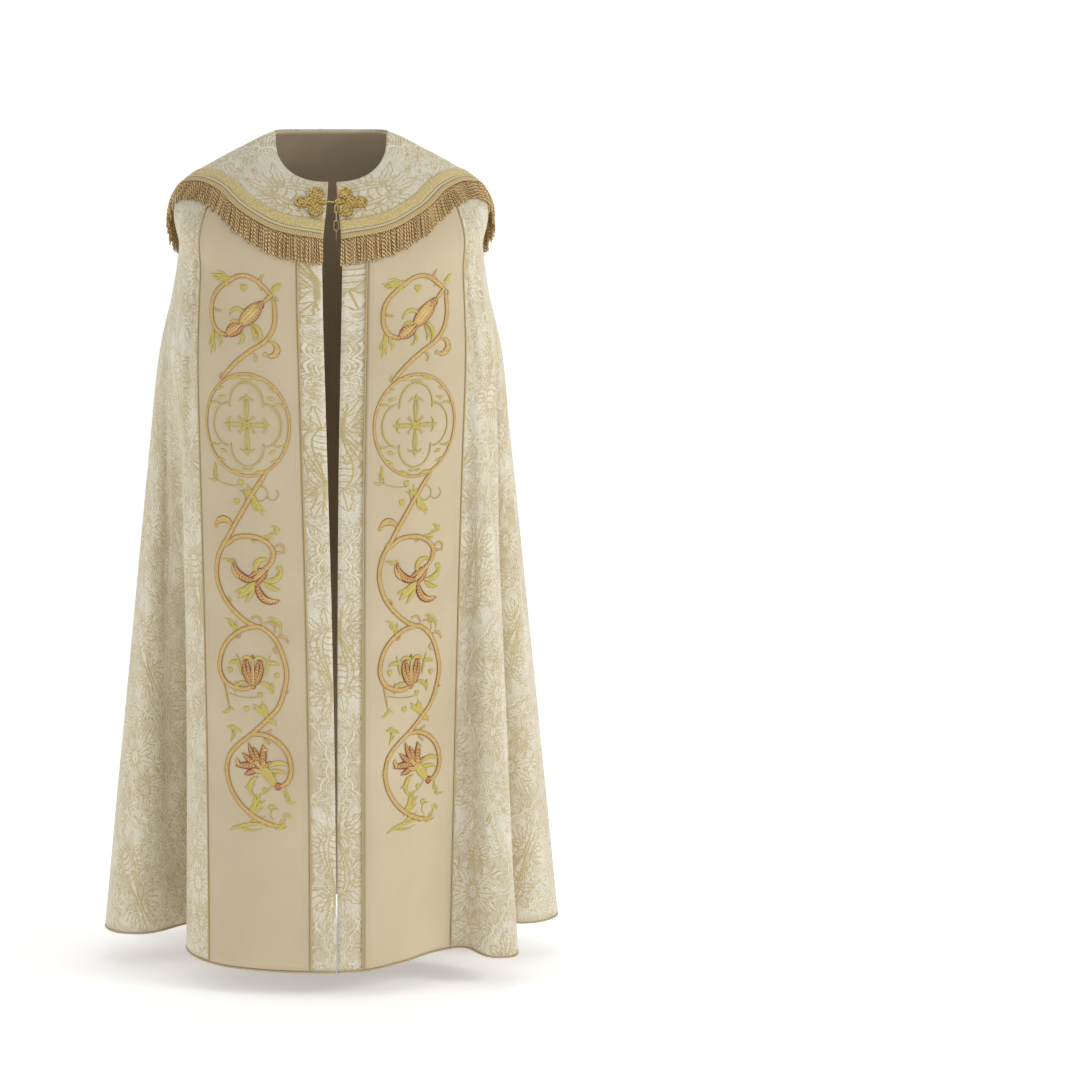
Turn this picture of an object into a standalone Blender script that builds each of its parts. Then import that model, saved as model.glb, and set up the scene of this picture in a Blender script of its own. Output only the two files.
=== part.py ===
"""A cope: a half-round brocade cloak with a fringed hood-collar, two orphreys and a gilt clasp.

Metres, +Z up, front towards -Y. The origin is the middle of the neck opening, level with the
sides of the neck. Run with: blender --background --python part.py
"""

from collections import namedtuple

import bmesh
import bpy
import numpy as np
from mathutils import Matrix, Vector
from mathutils.bvhtree import BVHTree

# Driving dimensions, in metres.
HEM_Z = -1.390  # lowest part of the hem
CLOTH_WALL = 0.002  # brocade with its lining
HOOD_WALL = 0.0022
ORPHREY_WALL = 0.0015
SEAM_GAP = 0.0003
STRIP_WIDTH = 0.043  # brocade showing between the opening and an orphrey
ORPHREY_WIDTH = 0.175
CORD_RADIUS = 0.0014
PIPING_RADIUS = 0.0021
GALLOON_WIDTH = 0.019
EDGING_WIDTH = 0.005
HEADER_WIDTH = 0.011
TRIM_WALL = 0.0012
TRIM_LIFT = 0.0013  # clears the small twist of the hood's faces at the back of the shoulder
FRINGE_LENGTH = 0.042
FRINGE_THICKNESS = 0.0026
FRINGE_CLEARANCE = 0.0040  # from the cope to the strands' outer side, at least
STRANDS_PER_SIDE = 64
BENT_FROM, BENT_TO = 0.24, 0.50  # the strands that bend over the shoulder, as shares of a side
STRAND_TAPER = {1: 1.0, 0: 1.0, -1: 0.86, -2: 0.72}  # width by row, from the header to the ends
PANEL_COLUMNS = 6  # columns of faces across an orphrey
FOLD_COLUMNS = 52  # columns from an orphrey to the centre back
HOOD_COLUMNS = 32  # columns of the hood on each side
HOOD_ROWS = 9

# The sections, from the neck down. Each is an oval with its own height at the front, side and back.
# "full" is how far the section has opened into the hem's folds, from 0 to 1.
Level = namedtuple(
    "Level", "name half_width front back z_front z_side z_back left_edge right_edge full"
)
LEVELS = [
    Level("neck", 0.096, 0.100, 0.062, -0.098, 0.000, 0.012, 0.0050, 0.0090, 0.00),
    Level("collar", 0.148, 0.122, 0.088, -0.122, -0.027, -0.010, 0.0060, 0.0105, 0.00),
    Level("mid shoulder", 0.200, 0.140, 0.112, -0.150, -0.055, -0.040, 0.0085, 0.0130, 0.00),
    Level("shoulder", 0.243, 0.154, 0.132, -0.184, -0.084, -0.082, 0.0120, 0.0160, 0.00),
    Level("shoulder edge", 0.271, 0.164, 0.148, -0.225, -0.122, -0.134, 0.0147, 0.0185, 0.00),
    Level("upper arm", 0.262, 0.170, 0.160, -0.272, -0.182, -0.200, 0.0142, 0.0182, 0.00),
    Level("chest", 0.272, 0.174, 0.168, -0.335, -0.272, -0.285, 0.0135, 0.0172, 0.02),
    Level("ribs", 0.291, 0.177, 0.174, -0.430, -0.390, -0.398, 0.0123, 0.0158, 0.10),
    Level("waist", 0.293, 0.178, 0.178, -0.610, -0.590, -0.594, 0.0100, 0.0130, 0.28),
    Level("hip", 0.293, 0.178, 0.180, -0.860, -0.850, -0.852, 0.0045, 0.0112, 0.515),
    Level("knee", 0.293, 0.178, 0.180, -1.120, -1.116, -1.118, -0.0020, 0.0106, 0.755),
    Level("hem", 0.293, 0.178, 0.180, HEM_Z, HEM_Z, HEM_Z, -0.0085, 0.0106, 1.00),
]
OVAL_POWER_FRONT = 2.5
OVAL_POWER_BACK = 2.3
NECK_POWER_BACK = 3.6  # the back of the neckline is nearly straight
NECK_POWER_LEVELS = 2  # the levels below the neck over which it rounds off
MOST_PANEL_SHARE = 0.5  # of a half section, where that is too short for the whole front panel

# The hem seen from above, from the opening round to the centre back. "out" is the distance from
# the middle, "depth" is negative in front, "rise" is the height over the lowest hem.
Fold = namedtuple("Fold", "name out depth rise")
HEM_LEFT = [
    Fold("opening edge", -0.0085, -0.250, 0.000),
    Fold("front strip", 0.034, -0.250, 0.000),
    Fold("panel middle", 0.110, -0.240, 0.001),
    Fold("panel side", 0.186, -0.207, 0.003),
    Fold("fold front", 0.228, -0.166, 0.008),
    Fold("fold edge", 0.243, -0.118, 0.013),
    Fold("turned wall", 0.224, -0.055, 0.022),
    Fold("valley", 0.184, 0.000, 0.031),
    Fold("valley end", 0.196, 0.040, 0.031),
    Fold("flute wall", 0.252, 0.014, 0.022),
    Fold("flute front", 0.314, -0.030, 0.016),
    Fold("flute side", 0.371, -0.010, 0.013),
    Fold("silhouette", 0.395, 0.050, 0.014),
    Fold("flute back", 0.372, 0.108, 0.018),
    Fold("rear wall", 0.296, 0.110, 0.024),
    Fold("rear valley", 0.208, 0.082, 0.033),
    Fold("rear valley end", 0.196, 0.118, 0.033),
    Fold("rear flute wall", 0.262, 0.166, 0.022),
    Fold("rear flute", 0.338, 0.200, 0.014),
    Fold("rear flute back", 0.346, 0.252, 0.012),
    Fold("rear flute end", 0.306, 0.274, 0.016),
    Fold("back wall", 0.268, 0.240, 0.024),
    Fold("back valley", 0.240, 0.196, 0.032),
    Fold("back valley end", 0.208, 0.194, 0.032),
    Fold("back flute wall", 0.226, 0.250, 0.020),
    Fold("back flute side", 0.236, 0.308, 0.010),
    Fold("back flute", 0.150, 0.356, 0.005),
    Fold("centre back", 0.000, 0.356, 0.006),
]
HEM_RIGHT = [
    Fold("opening edge", 0.0106, -0.249, 0.000),
    Fold("front strip", 0.053, -0.243, 0.001),
    Fold("panel middle", 0.116, -0.203, 0.006),
    Fold("panel side", 0.182, -0.152, 0.014),
    Fold("shallow valley", 0.219, -0.142, 0.017),
    Fold("front flute", 0.262, -0.178, 0.009),
    Fold("front flute edge", 0.303, -0.170, 0.008),
    Fold("fold edge", 0.312, -0.118, 0.012),
    Fold("turned wall", 0.262, -0.062, 0.022),
    Fold("valley", 0.202, -0.010, 0.032),
    Fold("valley end", 0.214, 0.034, 0.032),
    Fold("flute wall", 0.272, 0.028, 0.026),
    Fold("flute front", 0.334, 0.012, 0.024),
    Fold("flute side", 0.386, 0.048, 0.024),
    Fold("silhouette", 0.400, 0.106, 0.024),
    Fold("flute back", 0.362, 0.146, 0.024),
    Fold("rear wall", 0.292, 0.136, 0.026),
    Fold("rear valley", 0.210, 0.098, 0.033),
    Fold("rear valley end", 0.194, 0.132, 0.033),
    Fold("rear flute wall", 0.252, 0.202, 0.022),
    Fold("rear flute", 0.320, 0.244, 0.014),
    Fold("rear flute back", 0.306, 0.298, 0.012),
    Fold("rear flute end", 0.248, 0.296, 0.018),
    Fold("back wall", 0.200, 0.230, 0.025),
    Fold("back valley", 0.168, 0.156, 0.032),
    Fold("back valley end", 0.136, 0.172, 0.032),
    Fold("back flute wall", 0.164, 0.244, 0.020),
    Fold("back flute side", 0.172, 0.312, 0.010),
    Fold("back flute", 0.104, 0.358, 0.005),
    Fold("centre back", 0.000, 0.356, 0.006),
]

# The hood's edge by its turn round the neck, 0 in front and 180 at the back. "stand" is how far the
# hood's inner face stands off the cope at that edge.
Edge = namedtuple("Edge", "name turn z stand")
HOOD_EDGE = [
    Edge("opening", 0.0, -0.190, 0.0044),
    Edge("front", 18.0, -0.176, 0.0044),
    Edge("front quarter", 35.0, -0.147, 0.0046),
    Edge("shoulder front", 60.0, -0.103, 0.0050),
    Edge("shoulder", 90.0, -0.084, 0.0065),
    Edge("shoulder back", 105.0, -0.099, 0.0160),
    Edge("back side", 120.0, -0.144, 0.0310),
    Edge("back round", 135.0, -0.218, 0.0350),
    Edge("back quarter", 151.0, -0.290, 0.0270),
    Edge("back slope", 166.0, -0.342, 0.0240),
    Edge("point", 180.0, -0.386, 0.0235),
]

# The applique cross, from its middle along one arm. "across" is half the arm's width there.
CROSS_MIDDLE_Z = -0.167
CROSS_SQUARE = 0.0415  # half side of the stepped middle
CROSS_ROOT = 0.0255  # half width of an arm where it leaves the middle
CROSS_CUSP = (0.0765, 0.0462)  # along, across
CROSS_NECK = (0.0912, 0.0200)
CROSS_LOBE_MIDDLE = 0.0975
CROSS_LOBE_RADIUS = 0.0212
CROSS_FLARE_DIP = 0.0062  # how far an arm's side curves in
CROSS_CUSP_DIP = 0.0021  # the same from the cusp to the neck
CROSS_CUSP_INSET = np.array([0.37, 1.38])  # how a cusp and a neck move in, for each unit of inset
CROSS_NECK_INSET = np.array([0.48, 1.20])
CROSS_BORDER = 0.0074
CROSS_VELVET_WALL = 0.0015
CROSS_BORDER_WALL = 0.0024
CROSS_GRID = 0.019
ROSETTE_PETAL = 0.021
ROSETTE_LEAF = 0.034
ROSETTE_HEART = 0.0105  # its least radius
PETAL_POWER = 0.6  # under 1 makes the petals full
LEAF_NARROWING = 5.2
ROSETTE_WALL = 0.0016

# The gilt clasp: two trefoils, the hook between them, and the chain below the right one.
CLASP_X = 0.0325
CLASP_Z = -0.1335
CLASP_MIDDLE_RADIUS = 0.0130
CLASP_TAB_RADIUS = 0.0052
CLASP_TAB_OUT = 0.0212
CLASP_RIM = 0.0016
CLASP_WALL = 0.0026
CLASP_DISH = 0.0009
CLASP_LIFT = 0.0005
HOOK_RADIUS = 0.0011
HOOK_SAG = Vector((0.0, -0.0004, -0.0007))
EYE_X = 0.0088
EYE_Y = -0.1428
EYE_WIRE = 0.0009
EYE_WIDTH = 0.0064
EYE_HEIGHT = 0.0154
EYE_BAR_Z = -0.1512
LINK_COUNT = 3
LINK_WIRE = 0.0008
LINK_LENGTH = 0.0186  # over the wire
LINK_WIDTH = 0.0092
LINK_PLAY = 0.0004

# The lobes of a trefoil, turned from its tab.
Lobe = namedtuple("Lobe", "turn out radius")
CLASP_LOBES = [Lobe(66, 0.0196, 0.0124), Lobe(180, 0.0172, 0.0118), Lobe(294, 0.0196, 0.0124)]

Finish = namedtuple("Finish", "name colour roughness metallic")
BROCADE = Finish("ivory and gold brocade", (0.72, 0.66, 0.52), 0.55, 0.0)
CREAM = Finish("plain cream cloth", (0.74, 0.62, 0.44), 0.75, 0.0)
GALLOON = Finish("olive gold galloon", (0.52, 0.42, 0.16), 0.5, 0.2)
EDGING = Finish("cream edging", (0.80, 0.74, 0.58), 0.7, 0.0)
BULLION = Finish("gold bullion", (0.48, 0.31, 0.12), 0.5, 0.3)
PIPING = Finish("tan piping", (0.50, 0.38, 0.20), 0.6, 0.0)
GOLD_CORD = Finish("gold cord", (0.62, 0.45, 0.16), 0.5, 0.2)
VELVET = Finish("maroon velvet", (0.08, 0.01, 0.02), 0.9, 0.0)
SATIN = Finish("gold satin stitch", (0.70, 0.48, 0.12), 0.4, 0.2)
GILT = Finish("gilt metal", (0.86, 0.60, 0.20), 0.3, 1.0)


def clear_scene():
    for thing in list(bpy.data.objects):
        bpy.data.objects.remove(thing)


def collection(name):
    made = bpy.data.collections.new(name)
    bpy.context.scene.collection.children.link(made)
    return made


def material(finish):
    made = bpy.data.materials.get(finish.name)
    if made:
        return made
    made = bpy.data.materials.new(finish.name)
    made.use_nodes = True
    shader = made.node_tree.nodes["Principled BSDF"]
    shader.inputs["Base Color"].default_value = (*finish.colour, 1.0)
    shader.inputs["Roughness"].default_value = finish.roughness
    shader.inputs["Metallic"].default_value = finish.metallic
    return made


def add_mesh(name, bm, finish, smooth=True):
    mesh = bpy.data.meshes.new(name)
    bm.to_mesh(mesh)
    bm.free()
    if smooth:
        mesh.shade_smooth()
    mesh.materials.append(material(finish))
    made = bpy.data.objects.new(name, mesh)
    COPE.objects.link(made)
    return made


def table(rows, column):
    return np.array([getattr(row, column) for row in rows])


def smooth(at, knots, values):
    """A smooth curve through values (one row a knot), with slopes taken from the neighbours."""
    at = np.asarray(at, float)
    slopes = np.gradient(values, knots, axis=0)
    i = np.clip(np.searchsorted(knots, at) - 1, 0, len(knots) - 2)
    span = knots[i + 1] - knots[i]
    t = (at - knots[i]) / span
    if values.ndim > 1:
        t, span = t[..., None], span[..., None]
    start, end = values[i], values[i + 1]
    return (
        (1 + 2 * t) * (1 - t) ** 2 * start
        + t * (1 - t) ** 2 * span * slopes[i]
        + t**2 * (3 - 2 * t) * end
        + t**2 * (t - 1) * span * slopes[i + 1]
    )


def lengths_along(points):
    steps = np.linalg.norm(np.diff(points, axis=0), axis=1)
    return np.concatenate([[0.0], np.cumsum(steps)])


def pick(points, lengths, at):
    """The points that lie at these lengths along a line of points."""
    return np.stack([np.interp(at, lengths, points[:, i]) for i in range(points.shape[1])], -1)


def level_at(v):
    """The section at v, counted in levels from the neck."""
    columns = Level._fields[1:]
    knots = np.arange(len(LEVELS), dtype=float)
    values = np.stack([table(LEVELS, column) for column in columns], -1)
    return Level("between", *np.moveaxis(smooth(v, knots, values), -1, 0))


def oval_point(level, turn, side, back_power):
    """The point of a section at a turn from the front, in radians. side is -1 left, 1 right."""
    s, c = np.sin(turn), np.cos(turn)
    power = np.where(c > 0, OVAL_POWER_FRONT, back_power)
    reach = (np.abs(s) ** power + np.abs(c) ** power) ** (-1 / power)
    depth = np.where(c > 0, level.front, level.back)
    height = np.where(c > 0, level.z_front, level.z_back)
    x = level.half_width * s * reach
    y = -depth * c * reach
    z = level.z_side + (height - level.z_side) * np.abs(c) * reach
    return np.stack([side * x, y, z], -1)


def back_power_at(v):
    neck_share = np.maximum(0.0, 1 - v / NECK_POWER_LEVELS)
    return OVAL_POWER_BACK + (NECK_POWER_BACK - OVAL_POWER_BACK) * neck_share


def opening_turn(level, side):
    edge = level.left_edge if side < 0 else level.right_edge
    return np.arctan2(edge, level.half_width)


def oval(v, side, count=240):
    """Half a section without folds, from the opening round to the centre back."""
    level = level_at(v)
    turns = np.linspace(opening_turn(level, side), np.pi, count)
    return oval_point(level, turns, side, back_power_at(v))


def hem_line(side, count=700):
    """Half the hem seen from above, from the opening round to the centre back."""
    folds = HEM_LEFT if side < 0 else HEM_RIGHT
    knots = np.stack([side * table(folds, "out"), table(folds, "depth"), table(folds, "rise")], -1)
    along = lengths_along(knots[:, :2])
    return smooth(np.linspace(0, along[-1], count), along, knots)


PANEL_END = STRIP_WIDTH + ORPHREY_WIDTH


def half_cope(side, levels, columns):
    """Points of the cope's outer face. columns are distances along the hem from the opening."""
    hem = hem_line(side)
    hem_lengths = lengths_along(hem[:, :2])
    whole = hem_lengths[-1]
    at_hem = pick(hem, hem_lengths, columns)
    rows = []
    for v in levels:
        level = level_at(v)
        ring = oval(v, side)
        ring_lengths = lengths_along(ring)
        panel_end = min(PANEL_END, MOST_PANEL_SHARE * ring_lengths[-1])
        places = np.where(
            columns < PANEL_END,
            columns * panel_end / PANEL_END,
            panel_end
            + (columns - PANEL_END) / (whole - PANEL_END) * (ring_lengths[-1] - panel_end),
        )
        row = pick(ring, ring_lengths, places)
        row[:, :2] += level.full * (at_hem[:, :2] - row[:, :2])
        row[:, 2] += level.full * at_hem[:, 2]
        rows.append(row)
    return np.array(rows)


def hem_length(side):
    return lengths_along(hem_line(side)[:, :2])[-1]


def cope_columns(side):
    panel = np.linspace(STRIP_WIDTH, PANEL_END, PANEL_COLUMNS + 1)
    folds = np.linspace(PANEL_END, hem_length(side), FOLD_COLUMNS + 1)
    return np.concatenate([[0.0], panel, folds[1:]])


def cope_points():
    """The whole cope, from the left opening edge round the back to the right one."""
    levels = np.arange(len(LEVELS))
    left = half_cope(-1, levels, cope_columns(-1))
    right = half_cope(1, levels, cope_columns(1))
    return np.concatenate([left, right[:, ::-1][:, 1:]], axis=1)


def normals_of(points):
    """Outward normals of a grid of points, rows down and columns round."""
    across = np.gradient(points, axis=1)
    down = np.gradient(points, axis=0)
    normals = np.cross(across, down)
    return normals / np.linalg.norm(normals, axis=2, keepdims=True)


def lay_grid(points):
    """A grid of faces on an array of points, rows by columns."""
    rows, columns = points.shape[:2]
    bm = bmesh.new()
    bmesh.ops.create_grid(bm, x_segments=columns - 1, y_segments=rows - 1, size=1.0)
    for vert in bm.verts:
        column = round((vert.co.x + 1) / 2 * (columns - 1))
        row = round((vert.co.y + 1) / 2 * (rows - 1))
        vert.co = points[row, column]
    bm.normal_update()
    return bm


def cloth(name, points, wall, finish, grow):
    """A cloth on a grid of points. grow is -1 for a wall laid inwards and 1 for one laid outwards."""
    made = add_mesh(name, lay_grid(points), finish)
    solid = made.modifiers.new("wall", "SOLIDIFY")
    solid.thickness = wall
    solid.offset = grow
    return made


def tube(name, route, radius, finish, closed=False, resolution=1):
    curve = bpy.data.curves.new(name, "CURVE")
    curve.dimensions = "3D"
    curve.bevel_depth = radius
    curve.bevel_resolution = resolution
    curve.use_fill_caps = not closed
    spline = curve.splines.new("POLY")
    spline.points.add(len(route) - 1)
    for point, place in zip(spline.points, route):
        point.co = (*place, 1.0)
    spline.use_cyclic_u = closed
    curve.materials.append(material(finish))
    made = bpy.data.objects.new(name, curve)
    COPE.objects.link(made)
    return made


def make_cope(points):
    cloth("cope_body", points, CLOTH_WALL, BROCADE, grow=-1)


FIRST_ORPHREY_ROW = 2  # the level it starts at, under the hood


def make_orphrey(points, side):
    """The plain band down one front, with a cord along each edge."""
    name = "left" if side < 0 else "right"
    normals = normals_of(points)
    first, last = 1, 1 + PANEL_COLUMNS
    if side > 0:
        first, last = points.shape[1] - 1 - last, points.shape[1] - 1 - first
    down = slice(FIRST_ORPHREY_ROW, None)
    laid = points + normals * SEAM_GAP
    cloth(f"orphrey_{name}", laid[down, first : last + 1], ORPHREY_WALL, CREAM, grow=1)
    beside = CORD_RADIUS + 2 * SEAM_GAP
    lift = CORD_RADIUS + 2 * SEAM_GAP
    for place, edge in (("a", first - 1), ("b", last + 1)):
        own = first if place == "a" else last
        towards = points[down, edge] - points[down, own]
        towards /= np.linalg.norm(towards, axis=1, keepdims=True)
        route = points[down, own] + towards * beside + normals[down, own] * lift
        which = "inner" if (place == "a") == (side < 0) else "outer"
        tube(f"orphrey_cord_{name}_{which}", route, CORD_RADIUS, GOLD_CORD)


def make_piping(points):
    """The cord under the hem's edge, along the middle of the wall."""
    normals = normals_of(points)
    route = points[-1] - normals[-1] * CLOTH_WALL / 2
    route[:, 2] -= PIPING_RADIUS + 2 * SEAM_GAP
    tube("hem_piping", route, PIPING_RADIUS, PIPING, resolution=0)


HOOD_REACH = 7.5  # levels that a line of the hood and fringe may run over
HOOD_LINE_STEPS = 90
NECK_SEAM = 0.0016  # the hood's stand at the neckline, where it is sewn to the cope
NECK_STAND = 0.0038  # its stand once it has cleared that seam
NECK_RISE = 0.025  # the length over which it does
STAND_POWER = 3  # the hood follows the shoulder and leaves it only near its edge
MOST_STAND_SHARE = 1.08


def hood_line(turn, side):
    """One line of the hood on its outer face, from the neck down past the fringe.

    turn is 0 at the opening and pi at the centre back. Gives the points, the lengths along them
    and the length at the hood's edge.
    """
    levels = np.linspace(0, HOOD_REACH, HOOD_LINE_STEPS)
    level = level_at(levels)
    start = opening_turn(level, side)

    def row(shift):
        angle = start + (np.pi - start) * (turn + shift) / np.pi
        return oval_point(level, angle, side, back_power_at(levels))

    step = 1e-3
    line = row(0.0)
    across = (row(step) - row(-step)) * -side
    normals = np.cross(across, np.gradient(line, axis=0))
    normals /= np.linalg.norm(normals, axis=1, keepdims=True)
    lengths = lengths_along(line)
    knots = np.radians(table(HOOD_EDGE, "turn"))
    edge_z = float(smooth(turn, knots, table(HOOD_EDGE, "z")))
    stand = float(smooth(turn, knots, table(HOOD_EDGE, "stand")))
    edge_length = float(np.interp(-edge_z, -line[:, 2], lengths))
    share = np.clip(lengths / edge_length, 0, MOST_STAND_SHARE) ** STAND_POWER
    rise = np.clip(lengths / NECK_RISE, 0, 1)
    off = NECK_SEAM + (NECK_STAND - NECK_SEAM) * rise + (stand - NECK_STAND) * share + HOOD_WALL
    out = line + normals * off[:, None]
    return out, lengths, edge_length


def even_turns(count):
    """Turns that part the hood's edge on one side into equal lengths."""
    turns = np.linspace(0, np.pi, 60)
    edge = past_edge([hood_line(turn, -1) for turn in turns], 0.0)
    lengths = lengths_along(edge)
    return np.interp(np.linspace(0, lengths[-1], count + 1), lengths, turns)


def hood_lines(count):
    """Lines of the hood from the left opening round to the right one, count of them on each side."""
    turns = even_turns(count)
    left = [hood_line(turn, -1) for turn in turns]
    right = [hood_line(turn, 1) for turn in turns[::-1][1:]]
    return left + right


def past_edge(lines, distances):
    """The points of the lines that lie these distances past the hood's edge."""
    distances = np.broadcast_to(distances, len(lines))
    return np.array(
        [pick(line, lengths, end + far) for (line, lengths, end), far in zip(lines, distances)]
    )


def slant_of(lines):
    """How much longer a width is when measured along each line than square to the hood's edge."""
    edge = past_edge(lines, 0.0)
    down = edge - past_edge(lines, -0.01)
    down /= np.linalg.norm(down, axis=1, keepdims=True)
    steps = np.diff(edge, axis=0)
    steps /= np.linalg.norm(steps, axis=1, keepdims=True)
    sine = np.linalg.norm(np.cross(steps, (down[1:] + down[:-1]) / 2), axis=1)
    return 1 / np.concatenate([[sine[0]], (sine[1:] + sine[:-1]) / 2, [sine[-1]]])


def hood_points():
    """The hood's outer face. Its last row of faces is the one under the galloon and edging."""
    lines = hood_lines(HOOD_COLUMNS)
    trim = (GALLOON_WIDTH + EDGING_WIDTH) * slant_of(lines)
    shares = np.linspace(0, 1, HOOD_ROWS)
    columns = [
        pick(line, lengths, np.append(shares * (end - width), end))
        for (line, lengths, end), width in zip(lines, trim)
    ]
    return np.stack(columns, axis=1)


def make_hood(points):
    """The hood with its galloon and edging."""
    cloth("hood", points, HOOD_WALL, BROCADE, grow=-1)
    lift = normals_of(points)[-1] * TRIM_LIFT
    inner, outer = points[-2] + lift, points[-1] + lift
    trim = GALLOON_WIDTH + EDGING_WIDTH
    for name, start, stop, finish in (
        ("hood_galloon", 0.0, GALLOON_WIDTH - SEAM_GAP, GALLOON),
        ("hood_edging", GALLOON_WIDTH, trim, EDGING),
    ):
        band = np.stack([inner + (outer - inner) * at / trim for at in (start, stop)])
        cloth(name, band, TRIM_WALL, finish, grow=1)


def extrude_strands(bm, columns, to_row):
    """Draws the faces that look down, over these columns, out to a lower row."""
    bm.normal_update()
    faces = [
        face
        for face in bm.faces
        if face.normal.y < -0.9 and int(face.calc_center_median().x) in columns
    ]
    drawn = bmesh.ops.extrude_discrete_faces(bm, faces=faces)["faces"]
    for face in drawn:
        for vert in face.verts:
            vert.co.y = to_row


def hang(start, outward, length, cloth_below):
    """The end of a strand that hangs from start: down the slope, then clear of the cloth below."""
    down = Vector((0, 0, -1))
    along = down - outward * down.dot(outward)
    end = start + along.normalized() * length
    under, normal, _, _ = cloth_below.find_nearest(end)
    short = FRINGE_CLEARANCE - (end - under).dot(normal)
    return end + normal * max(0.0, short)


def fringe_rows(cells, cloth_below):
    """The fringe's outer face by row: the header's top and foot, then half way down and the ends."""
    lines = hood_lines(cells // 2)
    gap = 4 * SEAM_GAP
    top = past_edge(lines, gap)
    foot = past_edge(lines, gap + HEADER_WIDTH * slant_of(lines))
    outward = normals_of(np.stack([top, foot]))[-1]
    rows = {1: top, 0: foot}
    for row in (-1, -2):
        rows[row] = np.array(
            [
                hang(Vector(start), Vector(out), FRINGE_LENGTH / 2, cloth_below)
                for start, out in zip(rows[row + 1], outward)
            ]
        )
    return rows, outward


def make_fringe(cope):
    """A header strip along the hood's edge with strands hanging from it.

    It is made flat first, with x the column, y the row and z the face (0 outer, -1 inner),
    and then each corner is moved to its place on the hood.
    """
    cells = 2 * 2 * STRANDS_PER_SIDE  # a strand and a space each, on both sides
    bm = bmesh.new()
    bmesh.ops.create_grid(bm, x_segments=cells, y_segments=1, size=1.0)
    for vert in bm.verts:
        vert.co = Vector((round((vert.co.x + 1) / 2 * cells), round((vert.co.y + 1) / 2), 0.0))
    wall = bmesh.ops.extrude_face_region(bm, geom=list(bm.faces))["geom"]
    for item in wall:
        if isinstance(item, bmesh.types.BMVert):
            item.co.z = -1.0
    bmesh.ops.recalc_face_normals(bm, faces=bm.faces)
    strands = set(range(0, cells, 2))
    over_shoulder = {c for c in strands if BENT_FROM < 2 * min(c, cells - c) / cells < BENT_TO}
    extrude_strands(bm, strands - over_shoulder, to_row=-2.0)
    extrude_strands(bm, over_shoulder, to_row=-1.0)
    extrude_strands(bm, over_shoulder, to_row=-2.0)

    bm_cope = lay_grid(cope)
    rows, outward = fringe_rows(cells, BVHTree.FromBMesh(bm_cope))
    bm_cope.free()
    for vert in bm.verts:
        row = round(vert.co.y)
        middle = vert.co.x + (0.5 if round(vert.co.x) % 2 == 0 else -0.5)
        column = middle + (vert.co.x - middle) * STRAND_TAPER[row]
        low = min(int(column), cells - 1)
        share = column - low
        place = rows[row][low] * (1 - share) + rows[row][low + 1] * share
        vert.co = Vector(place + outward[round(column)] * FRINGE_THICKNESS * vert.co.z)
    bmesh.ops.recalc_face_normals(bm, faces=bm.faces)
    add_mesh("hood_fringe", bm, BULLION, smooth=False)


def arc(middle, radius, start, end, count):
    angles = np.radians(np.linspace(start, end, count))
    return [middle + radius * np.array([np.cos(a), np.sin(a)]) for a in angles]


def bow(start, end, dip, count):
    """Points after start up to end on a line that curves to its left by dip."""
    start, end = np.array(start), np.array(end)
    across = np.array([start[1] - end[1], end[0] - start[0]])
    across /= np.linalg.norm(across)
    shares = np.linspace(0, 1, count + 1)[1:]
    return [start + (end - start) * t + across * dip * 4 * t * (1 - t) for t in shares]


def cross_outline(inset=0.0):
    """The cross in its own plane, anticlockwise, drawn in from its edge by inset.

    It is the arm that points right, turned four times.
    """
    flip = np.array([1, -1])
    square, root = CROSS_SQUARE - inset, CROSS_ROOT - inset
    cusp = np.array(CROSS_CUSP) - inset * CROSS_CUSP_INSET
    neck = np.array(CROSS_NECK) - inset * CROSS_NECK_INSET
    lower = [np.array([square, -square]), np.array([square, -root])]
    lower += bow(np.array([square, -root]), cusp * flip, CROSS_FLARE_DIP, 4)
    lower += bow(cusp * flip, neck * flip, CROSS_CUSP_DIP, 2)
    turn = np.degrees(np.arctan2(neck[1], neck[0] - CROSS_LOBE_MIDDLE))
    middle = np.array([CROSS_LOBE_MIDDLE, 0.0])
    lobe = arc(middle, CROSS_LOBE_RADIUS - inset, -turn, turn, 12)[1:-1]
    arm = lower + lobe + [point * flip for point in lower[:0:-1]]
    outline = []
    for quarter in range(4):
        c, s = np.cos(quarter * np.pi / 2), np.sin(quarter * np.pi / 2)
        outline += [np.array([c * x - s * y, s * x + c * y]) for x, y in arm]
    return outline


def rosette_outline(count=48):
    """Four petals and, between them on the diagonals, four longer pointed leaves."""
    angles = np.linspace(0, 2 * np.pi, count, endpoint=False)
    petal = ROSETTE_PETAL * np.abs(np.cos(2 * angles)) ** PETAL_POWER
    off_diagonal = np.abs(np.sin(angles) ** 2 - 0.5)
    leaf = ROSETTE_LEAF * np.clip(1 - off_diagonal * LEAF_NARROWING, 0, 1)
    radius = np.maximum(np.maximum(petal, leaf), ROSETTE_HEART)
    return [np.array([r * np.cos(a), r * np.sin(a)]) for r, a in zip(radius, angles)]


def add_loop(bm, outline):
    verts = [bm.verts.new((x, 0.0, z)) for x, z in outline]
    return [bm.edges.new((verts[i - 1], verts[i])) for i in range(len(verts))]


def flat_face(outline):
    bm = bmesh.new()
    bmesh.ops.contextual_create(bm, geom=add_loop(bm, outline))
    bm.normal_update()
    return bm


def cut_by_grid(bm, pitch, reach):
    for axis in (Vector((1, 0, 0)), Vector((0, 0, 1))):
        for step in np.arange(-reach, reach + pitch / 2, pitch):
            geometry = list(bm.verts) + list(bm.edges) + list(bm.faces)
            bmesh.ops.bisect_plane(
                bm, geom=geometry, dist=1e-6, plane_co=axis * float(step), plane_no=axis
            )


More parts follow.
